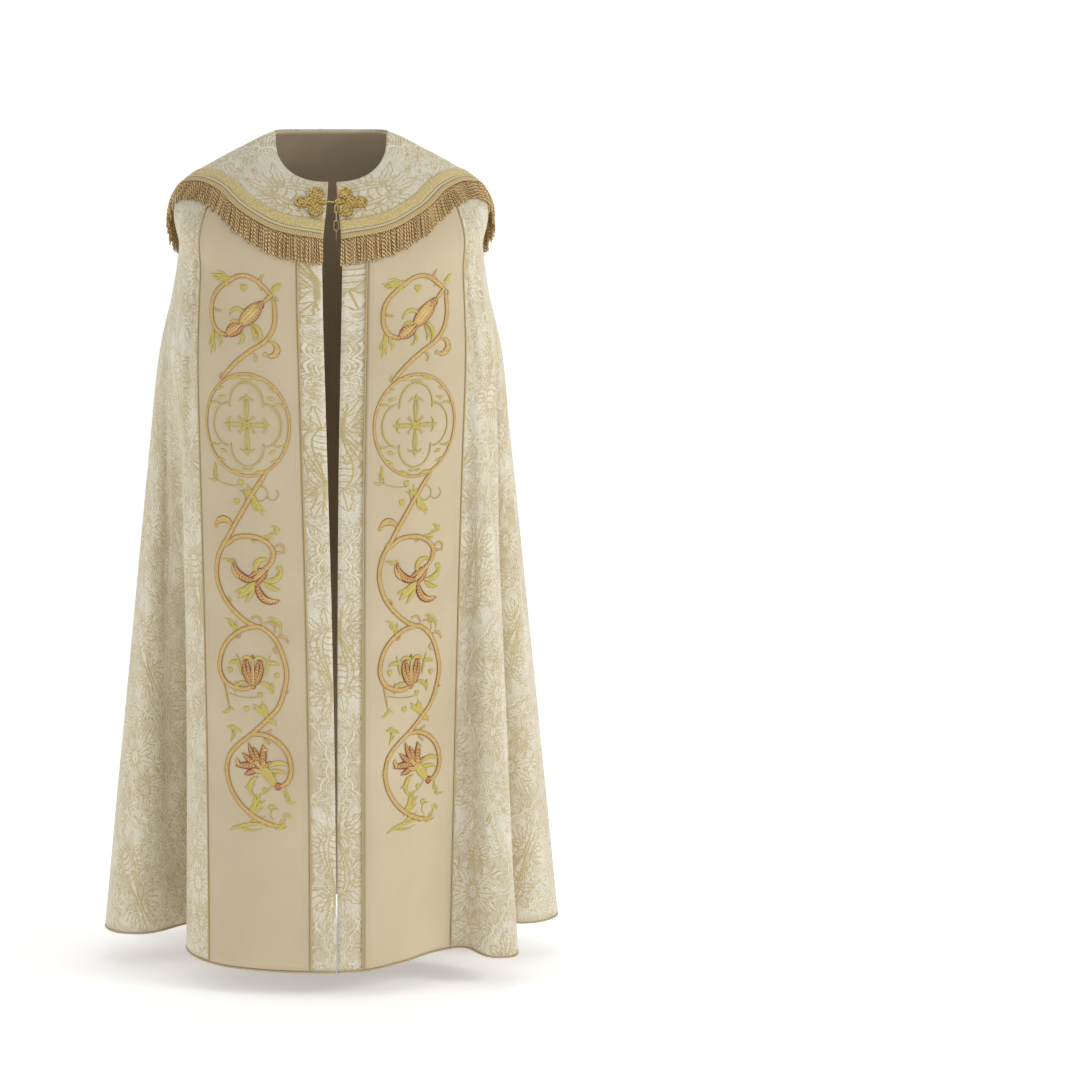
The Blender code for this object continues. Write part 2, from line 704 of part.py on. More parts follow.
def drape(bm, hood, lift):
    """Moves flat work onto the back of the hood, lifted off it."""
    for vert in bm.verts:
        start = Vector((vert.co.x, 1.0, vert.co.z + CROSS_MIDDLE_Z))
        place, normal, _, _ = hood.ray_cast(start, Vector((0, -1, 0)))
        if normal.y < 0:
            normal = -normal
        vert.co = place + normal * lift
    bm.normal_update()
    if sum(face.normal.y for face in bm.faces) < 0:
        bmesh.ops.reverse_faces(bm, faces=bm.faces)


def make_applique(name, bm, hood, lift, wall, finish):
    bmesh.ops.triangulate(bm, faces=bm.faces)
    drape(bm, hood, lift)
    made = add_mesh(name, bm, finish, smooth=False)
    solid = made.modifiers.new("wall", "SOLIDIFY")
    solid.thickness = wall
    solid.offset = 1


def make_cross(points):
    bm = lay_grid(points)
    hood = BVHTree.FromBMesh(bm)
    bm.free()
    lift = 4 * SEAM_GAP

    border = bmesh.new()
    rims = add_loop(border, cross_outline()) + add_loop(border, cross_outline(CROSS_BORDER))
    bmesh.ops.bridge_loops(border, edges=rims)
    make_applique("cross_border", border, hood, lift, CROSS_BORDER_WALL, SATIN)

    velvet = flat_face(cross_outline(CROSS_BORDER + 2 * SEAM_GAP))
    cut_by_grid(velvet, CROSS_GRID, 8 * CROSS_GRID)
    make_applique("cross_velvet", velvet, hood, lift, CROSS_VELVET_WALL, VELVET)

    rosette = flat_face(rosette_outline())
    cut_by_grid(rosette, CROSS_GRID, 3 * CROSS_GRID)
    on_velvet = lift + CROSS_VELVET_WALL + 2 * SEAM_GAP
    make_applique("cross_rosette", rosette, hood, on_velvet, ROSETTE_WALL, SATIN)


def trefoil_outline(tab_turn, count=60):
    """The outline of three lobes, a middle disc and a small tab, from the middle outwards."""
    discs = CLASP_LOBES + [Lobe(0, CLASP_TAB_OUT, CLASP_TAB_RADIUS)]
    outline = []
    for angle in np.linspace(0, 2 * np.pi, count, endpoint=False):
        reach = CLASP_MIDDLE_RADIUS
        for turn, out, radius in discs:
            off = angle - np.radians(tab_turn + turn)
            inside = radius**2 - (out * np.sin(off)) ** 2
            if inside > 0 and np.cos(off) > 0:
                reach = max(reach, out * np.cos(off) + np.sqrt(inside))
        outline.append((reach * np.cos(angle), reach * np.sin(angle)))
    return outline


def clasp_place(hood, side):
    """The frame of one trefoil on the hood: x to the right, y up the slope, z off the cloth."""
    start = Vector((side * CLASP_X, -1.0, CLASP_Z))
    place, normal, _, _ = hood.ray_cast(start, Vector((0, 1, 0)))
    if normal.y > 0:
        normal = -normal
    up = Vector((0, 0, 1))
    right = up.cross(normal).normalized()
    up = normal.cross(right)
    frame = Matrix((right, up, normal)).transposed().to_4x4()
    frame.translation = place + normal * CLASP_LIFT
    return frame


def make_clasp(points):
    bm = lay_grid(points)
    hood = BVHTree.FromBMesh(bm)
    bm.free()
    tabs = {}
    for side, name in ((-1, "left"), (1, "right")):
        bm = bmesh.new()
        outline = trefoil_outline(0 if side < 0 else 180)
        face = bm.faces.new([bm.verts.new((x, y, 0.0)) for x, y in outline])
        top = bmesh.ops.extrude_face_region(bm, geom=[face])["geom"]
        for item in top:
            if isinstance(item, bmesh.types.BMVert):
                item.co.z = CLASP_WALL
        lid = [item for item in top if isinstance(item, bmesh.types.BMFace)]
        bmesh.ops.recalc_face_normals(bm, faces=bm.faces)
        bmesh.ops.inset_region(
            bm, faces=lid, thickness=CLASP_RIM, depth=-CLASP_DISH, use_even_offset=True
        )
        made = add_mesh(f"clasp_{name}", bm, GILT, smooth=False)
        made.matrix_world = clasp_place(hood, side)
        tabs[side] = made.matrix_world
    reach = CLASP_TAB_OUT + CLASP_TAB_RADIUS + 2 * SEAM_GAP
    left = tabs[-1] @ Vector((reach, 0.0, CLASP_WALL / 2))
    right = tabs[1] @ Vector((-reach, 0.0, CLASP_WALL / 2))
    route = [left, left.lerp(right, 0.3) - HOOK_SAG, left.lerp(right, 0.7) + HOOK_SAG, right]
    tube("clasp_hook", route, HOOK_RADIUS, GILT)


def oblong(middle, length, width, wire, across):
    """The centre line of an oblong link. across is the way its width lies."""
    half, radius = (length - width) / 2, width / 2 - wire
    across, up = Vector(across), Vector((0, 0, 1))
    route = []
    for end, start in ((1, 0), (-1, 180)):
        for angle in np.radians(np.linspace(start, start + 180, 6)):
            flat = across * (radius * np.cos(angle)) + up * (radius * np.sin(angle) + end * half)
            route.append(Vector(middle) + flat)
    return route


def make_chain():
    """The eye below the right trefoil, and the links that hang from its lower bar."""
    eye_middle = (EYE_X, EYE_Y, EYE_BAR_Z + (EYE_HEIGHT / 2 - EYE_WIRE))
    eye = oblong(eye_middle, EYE_HEIGHT, EYE_WIDTH, EYE_WIRE, (1, 0, 0))
    tube("clasp_eye", eye, EYE_WIRE, GILT, closed=True)
    top = EYE_BAR_Z + EYE_WIRE + LINK_WIRE + LINK_PLAY
    pitch = LINK_LENGTH - 4 * LINK_WIRE - LINK_PLAY
    for number in range(LINK_COUNT):
        middle = (EYE_X, EYE_Y, top - (LINK_LENGTH / 2 - LINK_WIRE) - number * pitch)
        across = (0, 1, 0) if number % 2 == 0 else (1, 0, 0)
        route = oblong(middle, LINK_LENGTH, LINK_WIDTH, LINK_WIRE, across)
        tube(f"chain_link_{number + 1}", route, LINK_WIRE, GILT, closed=True)


def main():
    cope = cope_points()
    make_cope(cope)
    make_orphrey(cope, -1)
    make_orphrey(cope, 1)
    make_piping(cope)
    hood = hood_points()
    make_hood(hood)
    make_fringe(cope)
    make_cross(hood)
    make_clasp(hood)
    make_chain()


clear_scene()
COPE = collection("cope")
main()
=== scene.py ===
import math
from collections import namedtuple
from functools import reduce

import bmesh
import bpy
import numpy as np
from mathutils import Matrix, Vector
from mathutils.bvhtree import BVHTree


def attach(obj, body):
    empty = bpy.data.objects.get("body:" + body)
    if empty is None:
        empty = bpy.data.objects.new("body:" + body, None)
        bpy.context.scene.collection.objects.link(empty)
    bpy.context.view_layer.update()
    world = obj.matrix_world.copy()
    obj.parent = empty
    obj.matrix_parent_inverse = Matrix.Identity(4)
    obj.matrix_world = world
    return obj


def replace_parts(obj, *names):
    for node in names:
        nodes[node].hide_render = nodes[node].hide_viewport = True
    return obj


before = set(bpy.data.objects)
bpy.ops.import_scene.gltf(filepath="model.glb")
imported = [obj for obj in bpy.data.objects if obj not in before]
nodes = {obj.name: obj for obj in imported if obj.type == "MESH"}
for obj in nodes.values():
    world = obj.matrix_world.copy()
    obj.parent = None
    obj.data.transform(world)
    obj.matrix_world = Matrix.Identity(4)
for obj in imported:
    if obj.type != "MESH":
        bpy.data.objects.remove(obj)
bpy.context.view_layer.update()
print("frame loaded")


# Node graphs, written as expressions

class Value:
    # one socket of a material; arithmetic on it adds Math nodes
    def __init__(self, paint, socket):
        self.paint, self.socket = paint, socket

    def step(self, low, high):
        # 0 below low, 1 above high, smooth between; low may be the larger
        return self.paint.add(
            "MapRange", {"interpolation_type": "SMOOTHSTEP"},
            {"Value": self, "From Min": low, "From Max": high, "To Min": 0.0, "To Max": 1.0})

    def line(self, half, soft):
        # 1 where this value is within half of zero
        return abs(self).step(half + soft, half)

    def cell(self):
        # how far this value is from the middle of its whole step
        return self.wrap() - 0.5


def overload(name, operation, swapped=False):
    # gives Value an operator or a method that adds one Math node
    def method(self, other=0.0):
        first, second = (other, self) if swapped else (self, other)
        return self.paint.add("Math", {"operation": operation}, {0: first, 1: second})
    setattr(Value, name, method)


for word, operation in (("add", "ADD"), ("sub", "SUBTRACT"), ("mul", "MULTIPLY"),
                        ("truediv", "DIVIDE")):
    overload(f"__{word}__", operation)
    overload(f"__r{word}__", operation, swapped=True)
for word, operation in (
        ("__pow__", "POWER"), ("__abs__", "ABSOLUTE"), ("sin", "SINE"), ("cos", "COSINE"),
        ("root", "SQRT"), ("wrap", "FRACT"), ("floor", "FLOOR"), ("least", "MINIMUM"),
        ("most", "MAXIMUM"), ("turn", "ARCTAN2")):
    overload(word, operation)


class Paint:
    def __init__(self, name):
        self.material = bpy.data.materials.new(name)
        self.material.use_nodes = True
        self.tree = self.material.node_tree
        self.shader = self.tree.nodes["Principled BSDF"]

    def add(self, kind, settings=None, inputs=None, output=0):
        # a node by its type, its settings and the values or links of its sockets
        node = self.tree.nodes.new("ShaderNode" + kind)
        for name, value in (settings or {}).items():
            setattr(node, name, value)
        for key, value in (inputs or {}).items():
            self.join(node.inputs[key], value)
        return Value(self, node.outputs[output])

    def join(self, socket, value):
        if isinstance(value, Value):
            self.tree.links.new(value.socket, socket)
        elif isinstance(value, (tuple, list)) and socket.type == "RGBA" and len(value) == 3:
            socket.default_value = (*value, 1.0)
        else:
            socket.default_value = value

    def mix(self, factor, first, second):
        return self.add("Mix", {"data_type": "RGBA"}, {0: factor, 6: first, 7: second}, 2)

    def flat(self):
        # the two parts of a piece's own UV map
        split = self.add("SeparateXYZ", None, {0: self.add("UVMap", {"uv_map": "flat"})})
        return split, Value(self, split.socket.node.outputs[1])

    def place(self):
        return self.add("TexCoord", None, None, "Object")

    def point(self, x, y, z=0.0):
        return self.add("CombineXYZ", None, {0: x, 1: y, 2: z})

    def noise(self, at, scale, detail=2.0, roughness=0.5, distortion=0.0):
        return self.add("TexNoise", None, {
            "Vector": at, "Scale": scale, "Detail": detail, "Roughness": roughness,
            "Distortion": distortion})

    def bump(self, height, distance, strength=1.0):
        return self.add("Bump", None, {
            "Height": height, "Distance": distance, "Strength": strength})

    def finish(self, **sockets):
        # words of a socket's name are joined by _
        for name, value in sockets.items():
            self.join(self.shader.inputs[name.replace("_", " ")], value)
        return self.material


# The cope's form: ovals from the neck down that open into the hem's folds

cloth = {
    "wall": 0.002, "hoodWall": 0.0022, "orphreyWall": 0.0015, "gap": 0.0003,
    "strip": 0.043, "orphrey": 0.175, "cordRadius": 0.0014, "pipingRadius": 0.0021,
    "rows": 112, "columns": 212, "hoodRows": 52, "hoodColumns": 150, "orphreyRows": 170,
    "orphreyColumns": 29, "orphreyTop": 1.6, "frontPower": 2.5, "backPower": 2.3, "neckPower": 1.3,
}
panelEnd = cloth["strip"] + cloth["orphrey"]
Level = namedtuple("Level", "width front back zFront zSide zBack left right full")
levels = np.array([  # in millimetres; full is the share of the hem's folds, in thousandths
    (96, 100, 62, -98, 0, 12, 5, 9, 0), (148, 122, 88, -122, -27, -10, 6, 10.5, 0),
    (200, 140, 112, -150, -55, -40, 8.5, 13, 0), (243, 154, 132, -184, -84, -82, 12, 16, 0),
    (271, 164, 148, -225, -122, -134, 14.7, 18.5, 0),
    (262, 170, 160, -272, -182, -200, 14.2, 18.2, 0),
    (272, 174, 168, -335, -272, -285, 13.5, 17.2, 20),
    (291, 177, 174, -430, -390, -398, 12.3, 15.8, 100),
    (293, 178, 178, -610, -590, -594, 10, 13, 280),
    (293, 178, 180, -860, -850, -852, 4.5, 11.2, 515),
    (293, 178, 180, -1120, -1116, -1118, -2, 10.6, 755),
    (293, 178, 180, -1390, -1390, -1390, -8.5, 10.6, 1000),
]) / 1000
hems = {  # seen from above, from the opening round to the centre back: out, depth, rise in mm
    -1: [
        (-8.5, -250, 0), (34, -250, 0), (110, -240, 1), (186, -207, 3), (228, -166, 8),
        (243, -118, 13), (224, -55, 22), (184, 0, 31), (196, 40, 31), (252, 14, 22),
        (314, -30, 16), (371, -10, 13), (395, 50, 14), (372, 108, 18), (296, 110, 24),
        (208, 82, 33), (196, 118, 33), (262, 166, 22), (338, 200, 14), (346, 252, 12),
        (306, 274, 16), (268, 240, 24), (240, 196, 32), (208, 194, 32), (226, 250, 20),
        (236, 308, 10), (150, 356, 5), (0, 356, 6),
    ],
    1: [
        (10.6, -249, 0), (53, -243, 1), (116, -203, 6), (182, -152, 14), (219, -142, 17),
        (262, -178, 9), (303, -170, 8), (312, -118, 12), (262, -62, 22), (202, -10, 32),
        (214, 34, 32), (272, 28, 26), (334, 12, 24), (386, 48, 24), (400, 106, 24), (362, 146, 24),
        (292, 136, 26), (210, 98, 33), (194, 132, 33), (252, 202, 22), (320, 244, 14),
        (306, 298, 12), (248, 296, 18), (200, 230, 25), (168, 156, 32), (136, 172, 32),
        (164, 244, 20), (172, 312, 10), (104, 358, 5), (0, 356, 6),
    ],
}


def smooth(at, knots, values):
    # a curve through the values, at each knot with the slope between its neighbours
    at = np.asarray(at, float)
    slopes = np.gradient(values, knots, axis=0)
    i = np.clip(np.searchsorted(knots, at) - 1, 0, len(knots) - 2)
    span = knots[i + 1] - knots[i]
    t = (at - knots[i]) / span
    if values.ndim > 1:
        t, span = t[..., None], span[..., None]
    return ((1 + 2 * t) * (1 - t) ** 2 * values[i] + t * (1 - t) ** 2 * span * slopes[i]
            + t**2 * (3 - 2 * t) * values[i + 1] + t**2 * (t - 1) * span * slopes[i + 1])


def unit(vectors):
    return vectors / np.linalg.norm(vectors, axis=-1, keepdims=True)


def lengthsAlong(points):
    # along a line of points, or down each column of a grid
    steps = np.linalg.norm(np.diff(points, axis=0), axis=-1)
    return np.concatenate([np.zeros_like(steps[:1]), np.cumsum(steps, axis=0)])


def pick(points, lengths, at):
    return np.stack([np.interp(at, lengths, points[:, i]) for i in range(points.shape[1])], -1)


def levelAt(v):
    knots = np.arange(len(levels), dtype=float)
    return Level(*np.moveaxis(smooth(v, knots, levels), -1, 0))


def ovalPoint(level, turn, side, backPower):
    # a power of 2 gives an ellipse, more a squarer oval
    s, c = np.sin(turn), np.cos(turn)
    power = np.where(c > 0, cloth["frontPower"], backPower)
    reach = (np.abs(s) ** power + np.abs(c) ** power) ** (-1 / power)
    depth = np.where(c > 0, level.front, level.back)
    height = np.where(c > 0, level.zFront, level.zBack)
    z = level.zSide + (height - level.zSide) * np.abs(c) * reach
    return np.stack([side * level.width * s * reach, -depth * c * reach, z], -1)


def backPowerAt(v):
    # the back of the neckline is nearly straight
    return cloth["backPower"] + cloth["neckPower"] * np.maximum(0.0, 1 - v / 2)


def openingTurn(level, side):
    return np.arctan2(level.left if side < 0 else level.right, level.width)


def hemLine(side, count=1400):
    knots = np.array(hems[side]) / 1000 * (side, 1, 1)
    along = lengthsAlong(knots[:, :2])
    return smooth(np.linspace(0, along[-1], count), along, knots)


def hemLength(side):
    return lengthsAlong(hemLine(side)[:, :2])[-1]


def halfCope(side, rows, columns, count=400):
    # rows are places in the table of levels, columns are distances along the hem
    hem = hemLine(side)
    hemLengths = lengthsAlong(hem[:, :2])
    whole = hemLengths[-1]
    atHem = pick(hem, hemLengths, columns)
    points = []
    for v in rows:
        level = levelAt(v)
        turns = np.linspace(openingTurn(level, side), np.pi, count)
        ring = ovalPoint(level, turns, side, backPowerAt(v))
        ringLengths = lengthsAlong(ring)
        end = min(panelEnd, 0.5 * ringLengths[-1])
        places = np.where(
            columns < panelEnd, columns * end / panelEnd,
            end + (columns - panelEnd) / (whole - panelEnd) * (ringLengths[-1] - end))
        row = pick(ring, ringLengths, places)
        row[:, :2] += level.full * (atHem[:, :2] - row[:, :2])
        row[:, 2] += level.full * atHem[:, 2]
        points.append(row)
    return np.array(points)


def normalsOf(points):
    return unit(np.cross(np.gradient(points, axis=1), np.gradient(points, axis=0)))


creases = {  # where on the hem and at what level each starts and ends, half width, depth; in mm
    -1: [
        (250, 3.6, 300, 8.2, 20, -5), (330, 5.2, 300, 9.4, 16, 3), (560, 6.5, 590, 10.9, 22, -4.5),
        (640, 8, 655, 11.4, 18, 5), (700, 6, 730, 10.2, 26, -6), (930, 6.2, 905, 9.8, 22, 5),
        (1130, 7.4, 1160, 11.4, 24, -6), (1270, 5.6, 1240, 9, 20, 4.5),
        (1560, 6.4, 1540, 10, 26, -5), (1700, 5.8, 1720, 9.3, 24, 6),
        (1790, 7.6, 1800, 11.4, 30, -5), (1890, 6, 1868, 8.8, 34, 6),
    ],
    1: [
        (255, 3.8, 290, 7.4, 18, -5), (350, 6.4, 372, 11.4, 18, -4), (410, 5, 400, 8.6, 22, 5),
        (640, 6.4, 665, 10.4, 20, -5), (740, 7.6, 760, 11.4, 20, 4), (820, 5.6, 800, 9.8, 26, -5),
        (1010, 6.6, 1020, 10.6, 22, 5), (1200, 5.6, 1220, 9.8, 24, -6),
        (1330, 7.6, 1310, 11.4, 22, 5), (1640, 6, 1660, 9.2, 24, -6),
        (1800, 6.6, 1786, 10.8, 26, 5), (1900, 5.6, 1880, 8.4, 30, -5.5),
    ],
}


def creaseDepths(side, rows, columns):
    # how far each point moves off the form, out when positive
    depths = np.zeros((len(rows), len(columns)))
    for crease in np.array(creases[side]) / (1000, 1, 1000, 1, 1000, 1000):
        startAt, startLevel, endAt, endLevel, halfWidth, depth = crease
        share = (rows - startLevel) / (endLevel - startLevel)
        ends = np.clip(share * 4, 0, 1) * np.clip((1 - share) * 4, 0, 1)
        ends = ends * ends * (3 - 2 * ends)
        bend = 0.35 * halfWidth * np.sin(5 * share + 9 * startAt)
        middle = startAt + (endAt - startAt) * share + bend
        width = halfWidth * (0.75 + 0.35 * np.clip(share, 0, 1))
        across = (columns[None] - middle[:, None]) / width[:, None]
        depths += depth * ends[:, None] * np.exp(-across**2)
    return depths


def levelRows(count, steps=300):
    # rows an equal length apart down the side of the garment
    fine = np.linspace(0, len(levels) - 1, steps)
    level = levelAt(fine)
    lengths = lengthsAlong(np.stack([level.width, level.zSide], -1))
    return np.interp(np.linspace(0, lengths[-1], count), lengths, fine)


def creasedHalf(side, rows, columns):
    # columns run from the opening; the grid returned does too
    points = halfCope(side, rows, columns)
    normals = normalsOf(points) * (1 if side < 0 else -1)
    return points + normals * creaseDepths(side, rows, columns)[:, :, None]


def wholeCope(rows, count):
    # both halves as one grid, and how far round the flat cut each column lies
    sides, shares, panelCount = [], [], count // 8
    for side in (-1, 1):
        panel = np.linspace(0, panelEnd, panelCount + 1)
        rest = np.linspace(panelEnd, hemLength(side), count - panelCount + 1)
        columns = np.concatenate([panel, rest[1:]])
        sides.append(creasedHalf(side, rows, columns))
        shares.append(columns / columns[-1])
    points = np.concatenate([sides[0], sides[1][:, ::-1][:, 1:]], axis=1)
    turns = np.concatenate([shares[0], 2 - shares[1][::-1][1:]]) * np.pi / 2
    return points, turns


hoodForm = {
    "clear": 0.0016, "rise": 0.0022, "riseLength": 0.025, "lastLevel": 7.5, "standReach": 1.08,
    "edge": np.array([  # turn in degrees, z, stand off the cope
        (0.0, -0.190, 0.0044), (18.0, -0.176, 0.0044), (35.0, -0.147, 0.0046),
        (60.0, -0.103, 0.0050), (90.0, -0.084, 0.0065), (105.0, -0.099, 0.0160),
        (120.0, -0.144, 0.0310), (135.0, -0.218, 0.0350), (151.0, -0.290, 0.0270),
        (166.0, -0.342, 0.0240), (180.0, -0.386, 0.0235)]),
}


def hoodLine(turn, side, count=90, nudge=1e-3):
    # one line of the hood's outer face, from the neck down past the fringe
    rows = np.linspace(0, hoodForm["lastLevel"], count)
    level = levelAt(rows)
    start = openingTurn(level, side)

    def row(shift):
        angle = start + (np.pi - start) * (turn + shift) / np.pi
        return ovalPoint(level, angle, side, backPowerAt(rows))

    line = row(0.0)
    across = (row(nudge) - row(-nudge)) * -side
    normals = unit(np.cross(across, np.gradient(line, axis=0)))
    lengths = lengthsAlong(line)
    knots = np.radians(hoodForm["edge"][:, 0])
    edgeZ, stand = (float(smooth(turn, knots, hoodForm["edge"][:, i])) for i in (1, 2))
    edge = float(np.interp(-edgeZ, -line[:, 2], lengths))
    clear, rise = hoodForm["clear"], hoodForm["rise"]
    off = (clear + rise * np.clip(lengths / hoodForm["riseLength"], 0, 1) + cloth["hoodWall"]
           + (stand - clear - rise) * np.clip(lengths / edge, 0, hoodForm["standReach"]) ** 3)
    return line + normals * off[:, None], lengths, edge


def pastEdge(lines, distances):
    # the place on each line this far past the hood's edge
    distances = np.broadcast_to(distances, len(lines))
    return np.array([pick(line, lengths, end + far)
                     for (line, lengths, end), far in zip(lines, distances)])


def hoodLines(count):
    # lines an equal length apart along the hood's edge, this many in each half
    turns = np.linspace(0, np.pi, 90)
    edge = lengthsAlong(pastEdge([hoodLine(turn, -1) for turn in turns], 0.0))
    turns = np.interp(np.linspace(0, edge[-1], count + 1), edge, turns)
    return ([hoodLine(turn, -1) for turn in turns]
            + [hoodLine(turn, 1) for turn in turns[::-1][1:]])


def slantOf(lines):
    # how much longer a width is along each line than square to the hood's edge
    edge = pastEdge(lines, 0.0)
    down = unit(edge - pastEdge(lines, -0.01))
    steps = unit(np.diff(edge, axis=0))
    sine = np.linalg.norm(np.cross(steps, (down[1:] + down[:-1]) / 2), axis=1)
    return 1 / np.concatenate([[sine[0]], (sine[1:] + sine[:-1]) / 2, [sine[-1]]])


# Making pieces

def meshOf(name, bm):
    mesh = bpy.data.meshes.new(name)
    bm.to_mesh(mesh)
    bm.free()
    return mesh


def opened(mesh):
    bm = bmesh.new()
    bm.from_mesh(mesh)
    return bm


def treeOf(mesh):
    bm = opened(mesh)
    tree = BVHTree.FromBMesh(bm)
    bm.free()
    return tree


def setOut(name, data):
    made = bpy.data.objects.new(name, data)
    bpy.context.scene.collection.objects.link(made)
    return made


def keep(name, mesh, looks, hides=(), wall=0.0, inner=0, body="garment"):
    # a mesh becomes a piece on a body; wall is its thickness, inner the look of its inner face
    made = setOut(name, mesh)
    for look in looks if isinstance(looks, list) else [looks]:
        mesh.materials.append(look)
    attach(made, body)
    if hides:
        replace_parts(made, *hides)
    if wall:
        solid = made.modifiers.new("wall", "SOLIDIFY")
        solid.thickness, solid.offset, solid.material_offset = wall, -1, inner
    return made


def gridsMesh(name, grids):
    # several grids in one mesh: each a pair of points and flat places
    bm = bmesh.new()
    for points, _ in grids:
        rows, columns = points.shape[:2]
        bmesh.ops.create_grid(bm, x_segments=columns - 1, y_segments=rows - 1, size=1.0)
    mesh = meshOf(name, bm)
    points = np.concatenate([points.reshape(-1, 3) for points, _ in grids])
    flat = np.concatenate([flat.reshape(-1, 2) for _, flat in grids])
    mesh.vertices.foreach_set("co", points.astype(np.float32).ravel())
    corners = np.empty(len(mesh.loops), np.int32)
    mesh.loops.foreach_get("vertex_index", corners)
    layer = mesh.uv_layers.new(name="flat")
    layer.data.foreach_set("uv", flat[corners].astype(np.float32).ravel())
    mesh.update()
    return mesh


def gridMesh(name, points, flat):
    # a cloth on rows and columns of points, with its flat cut as the UV map
    mesh = gridsMesh(name, [(points, flat)])
    mesh.shade_smooth()
    return mesh


def flatGrid(points, across, along):
    # a UV map's places, from values that fit the grid's rows or columns
    return np.stack([np.broadcast_to(part, points.shape[:2]) for part in (across, along)], -1)


# Camera, floor and light

stage = {
    "lens": 77.07, "sensor": 36, "away": 4.0, "height": -0.5, "shiftX": 0.1935, "shiftY": -0.1093,
    "farthest": 60, "floorZ": -1.432, "floorFrom": -9, "floorTo": 3, "bend": 2.5, "wall": 7,
    "halfWidth": 12, "glow": 0.36, "world": 0.46, "aim": (0, 0, -0.7),
    "lamps": {  # place, size, power
        "key": ((3.8, -1.8, 1.0), 1.6, 70), "fill": ((-3.5, -1.1, 0.3), 2.0, 22),
        "back": ((1.6, 3.2, 1.2), 2.2, 6), "top": ((0, 0.2, 2.4), 2.0, 6)},
}


def makeStage():
    camera = bpy.data.cameras.new("camera")
    camera.sensor_width, camera.lens = stage["sensor"], stage["lens"]
    camera.shift_x, camera.shift_y = stage["shiftX"], stage["shiftY"]
    camera.clip_end = stage["farthest"]
    eye = setOut("camera", camera)
    eye.location = (0, -stage["away"], stage["height"])
    eye.rotation_euler = (math.pi / 2, 0, 0)
    bpy.context.scene.camera = eye

    # a floor to half way along, a bend to three quarters and then a wall
    bm = bmesh.new()
    bmesh.ops.create_grid(bm, x_segments=2, y_segments=60, size=1.0)
    run = 2 * (stage["floorTo"] - stage["floorFrom"])
    for vert in bm.verts:
        along = (vert.co.y + 1) / 2
        angle = min(1.0, max(0.0, along - 0.5) / 0.25) * math.pi / 2
        vert.co = (vert.co.x * stage["halfWidth"],
                   stage["floorFrom"] + run * min(along, 0.5) + stage["bend"] * math.sin(angle),
                   stage["floorZ"] + stage["bend"] - stage["bend"] * math.cos(angle)
                   + max(0.0, along - 0.75) * 4 * stage["wall"])
    floor = meshOf("floor", bm)
    floor.shade_smooth()
    paint = Paint("pale floor")
    grain = paint.noise(paint.place(), 3.0, 3.0)
    floor.materials.append(paint.finish(
        Base_Color=paint.mix(grain.step(0.3, 0.7), (0.93, 0.93, 0.93), (0.95, 0.95, 0.95)),
        Roughness=0.9, Emission_Color=(1.0, 1.0, 1.0), Emission_Strength=stage["glow"]))
    setOut("floor", floor)

    world = bpy.data.worlds.new("studio")
    bpy.context.scene.world = world
    world.use_nodes = True
    colour, strength = world.node_tree.nodes["Background"].inputs[:2]
    colour.default_value, strength.default_value = (1, 1, 1, 1), stage["world"]
    bpy.context.scene.view_settings.view_transform = "Standard"
    for name, (place, size, power) in stage["lamps"].items():
        light = bpy.data.lights.new(name, "AREA")
        light.shape, light.size, light.energy = "SQUARE", size, power
        lamp = setOut(name, light)
        lamp.location = place
        towards = Vector(stage["aim"]) - Vector(place)
        lamp.rotation_euler = towards.to_track_quat("-Z", "Y").to_euler()


makeStage()
print("stage made")


# Cloth finishes

weaving = {
    "warp": 0.33, "weft": 0.214, "bandReach": 0.043, "bandRim": 0.0020, "goldLine": 0.00066,
    "creamLine": 0.0012, "soft": 0.0004, "swirl": 26.0, "contours": 15.0, "scallop": 0.0052,
    "innerLine": 0.0078, "rope": 0.0075, "ropeOff": 0.0058, "carnation": 0.0270,
    "carnationOff": 0.0180, "fruitBack": 0.052, "fruitLength": 0.088, "fruitHalf": 0.0215,
    "ground": ((0.640, 0.582, 0.440), (0.850, 0.812, 0.695)),
    "pale": ((0.760, 0.690, 0.520), (0.960, 0.925, 0.800)),
    "yellow": ((0.385, 0.275, 0.075), (0.710, 0.555, 0.225)),
}


def fan(along, across, start, sector, inner, length, width):
    # leaves round a point on the axis: outlines and ribs in gold, the inside as a fill
    x = along - start
    radius = (x * x + across * across).root()
    off = abs((across.turn(x) / sector).cell() * sector) * radius
    share = (radius - inner) / length
    edge = (share.most(0.0).least(1.0) * math.pi).sin() * width
    edge = edge * (1.0 + (share * 22.0).sin() * 0.16)
    within = edge.step(0.0, 0.0012)
    gap = off - edge
    outline = gap.line(weaving["goldLine"], weaving["soft"]) * within
    fill = gap.step(0.0004, -0.0006) * within
    ribs = (share * 9.0 - off * 260.0).cell().line(0.06, 0.08) * 0.7
    rib = off.step(weaving["goldLine"] * 1.6, weaving["goldLine"] * 0.6)
    return outline, fill, ribs.most(rib) * fill


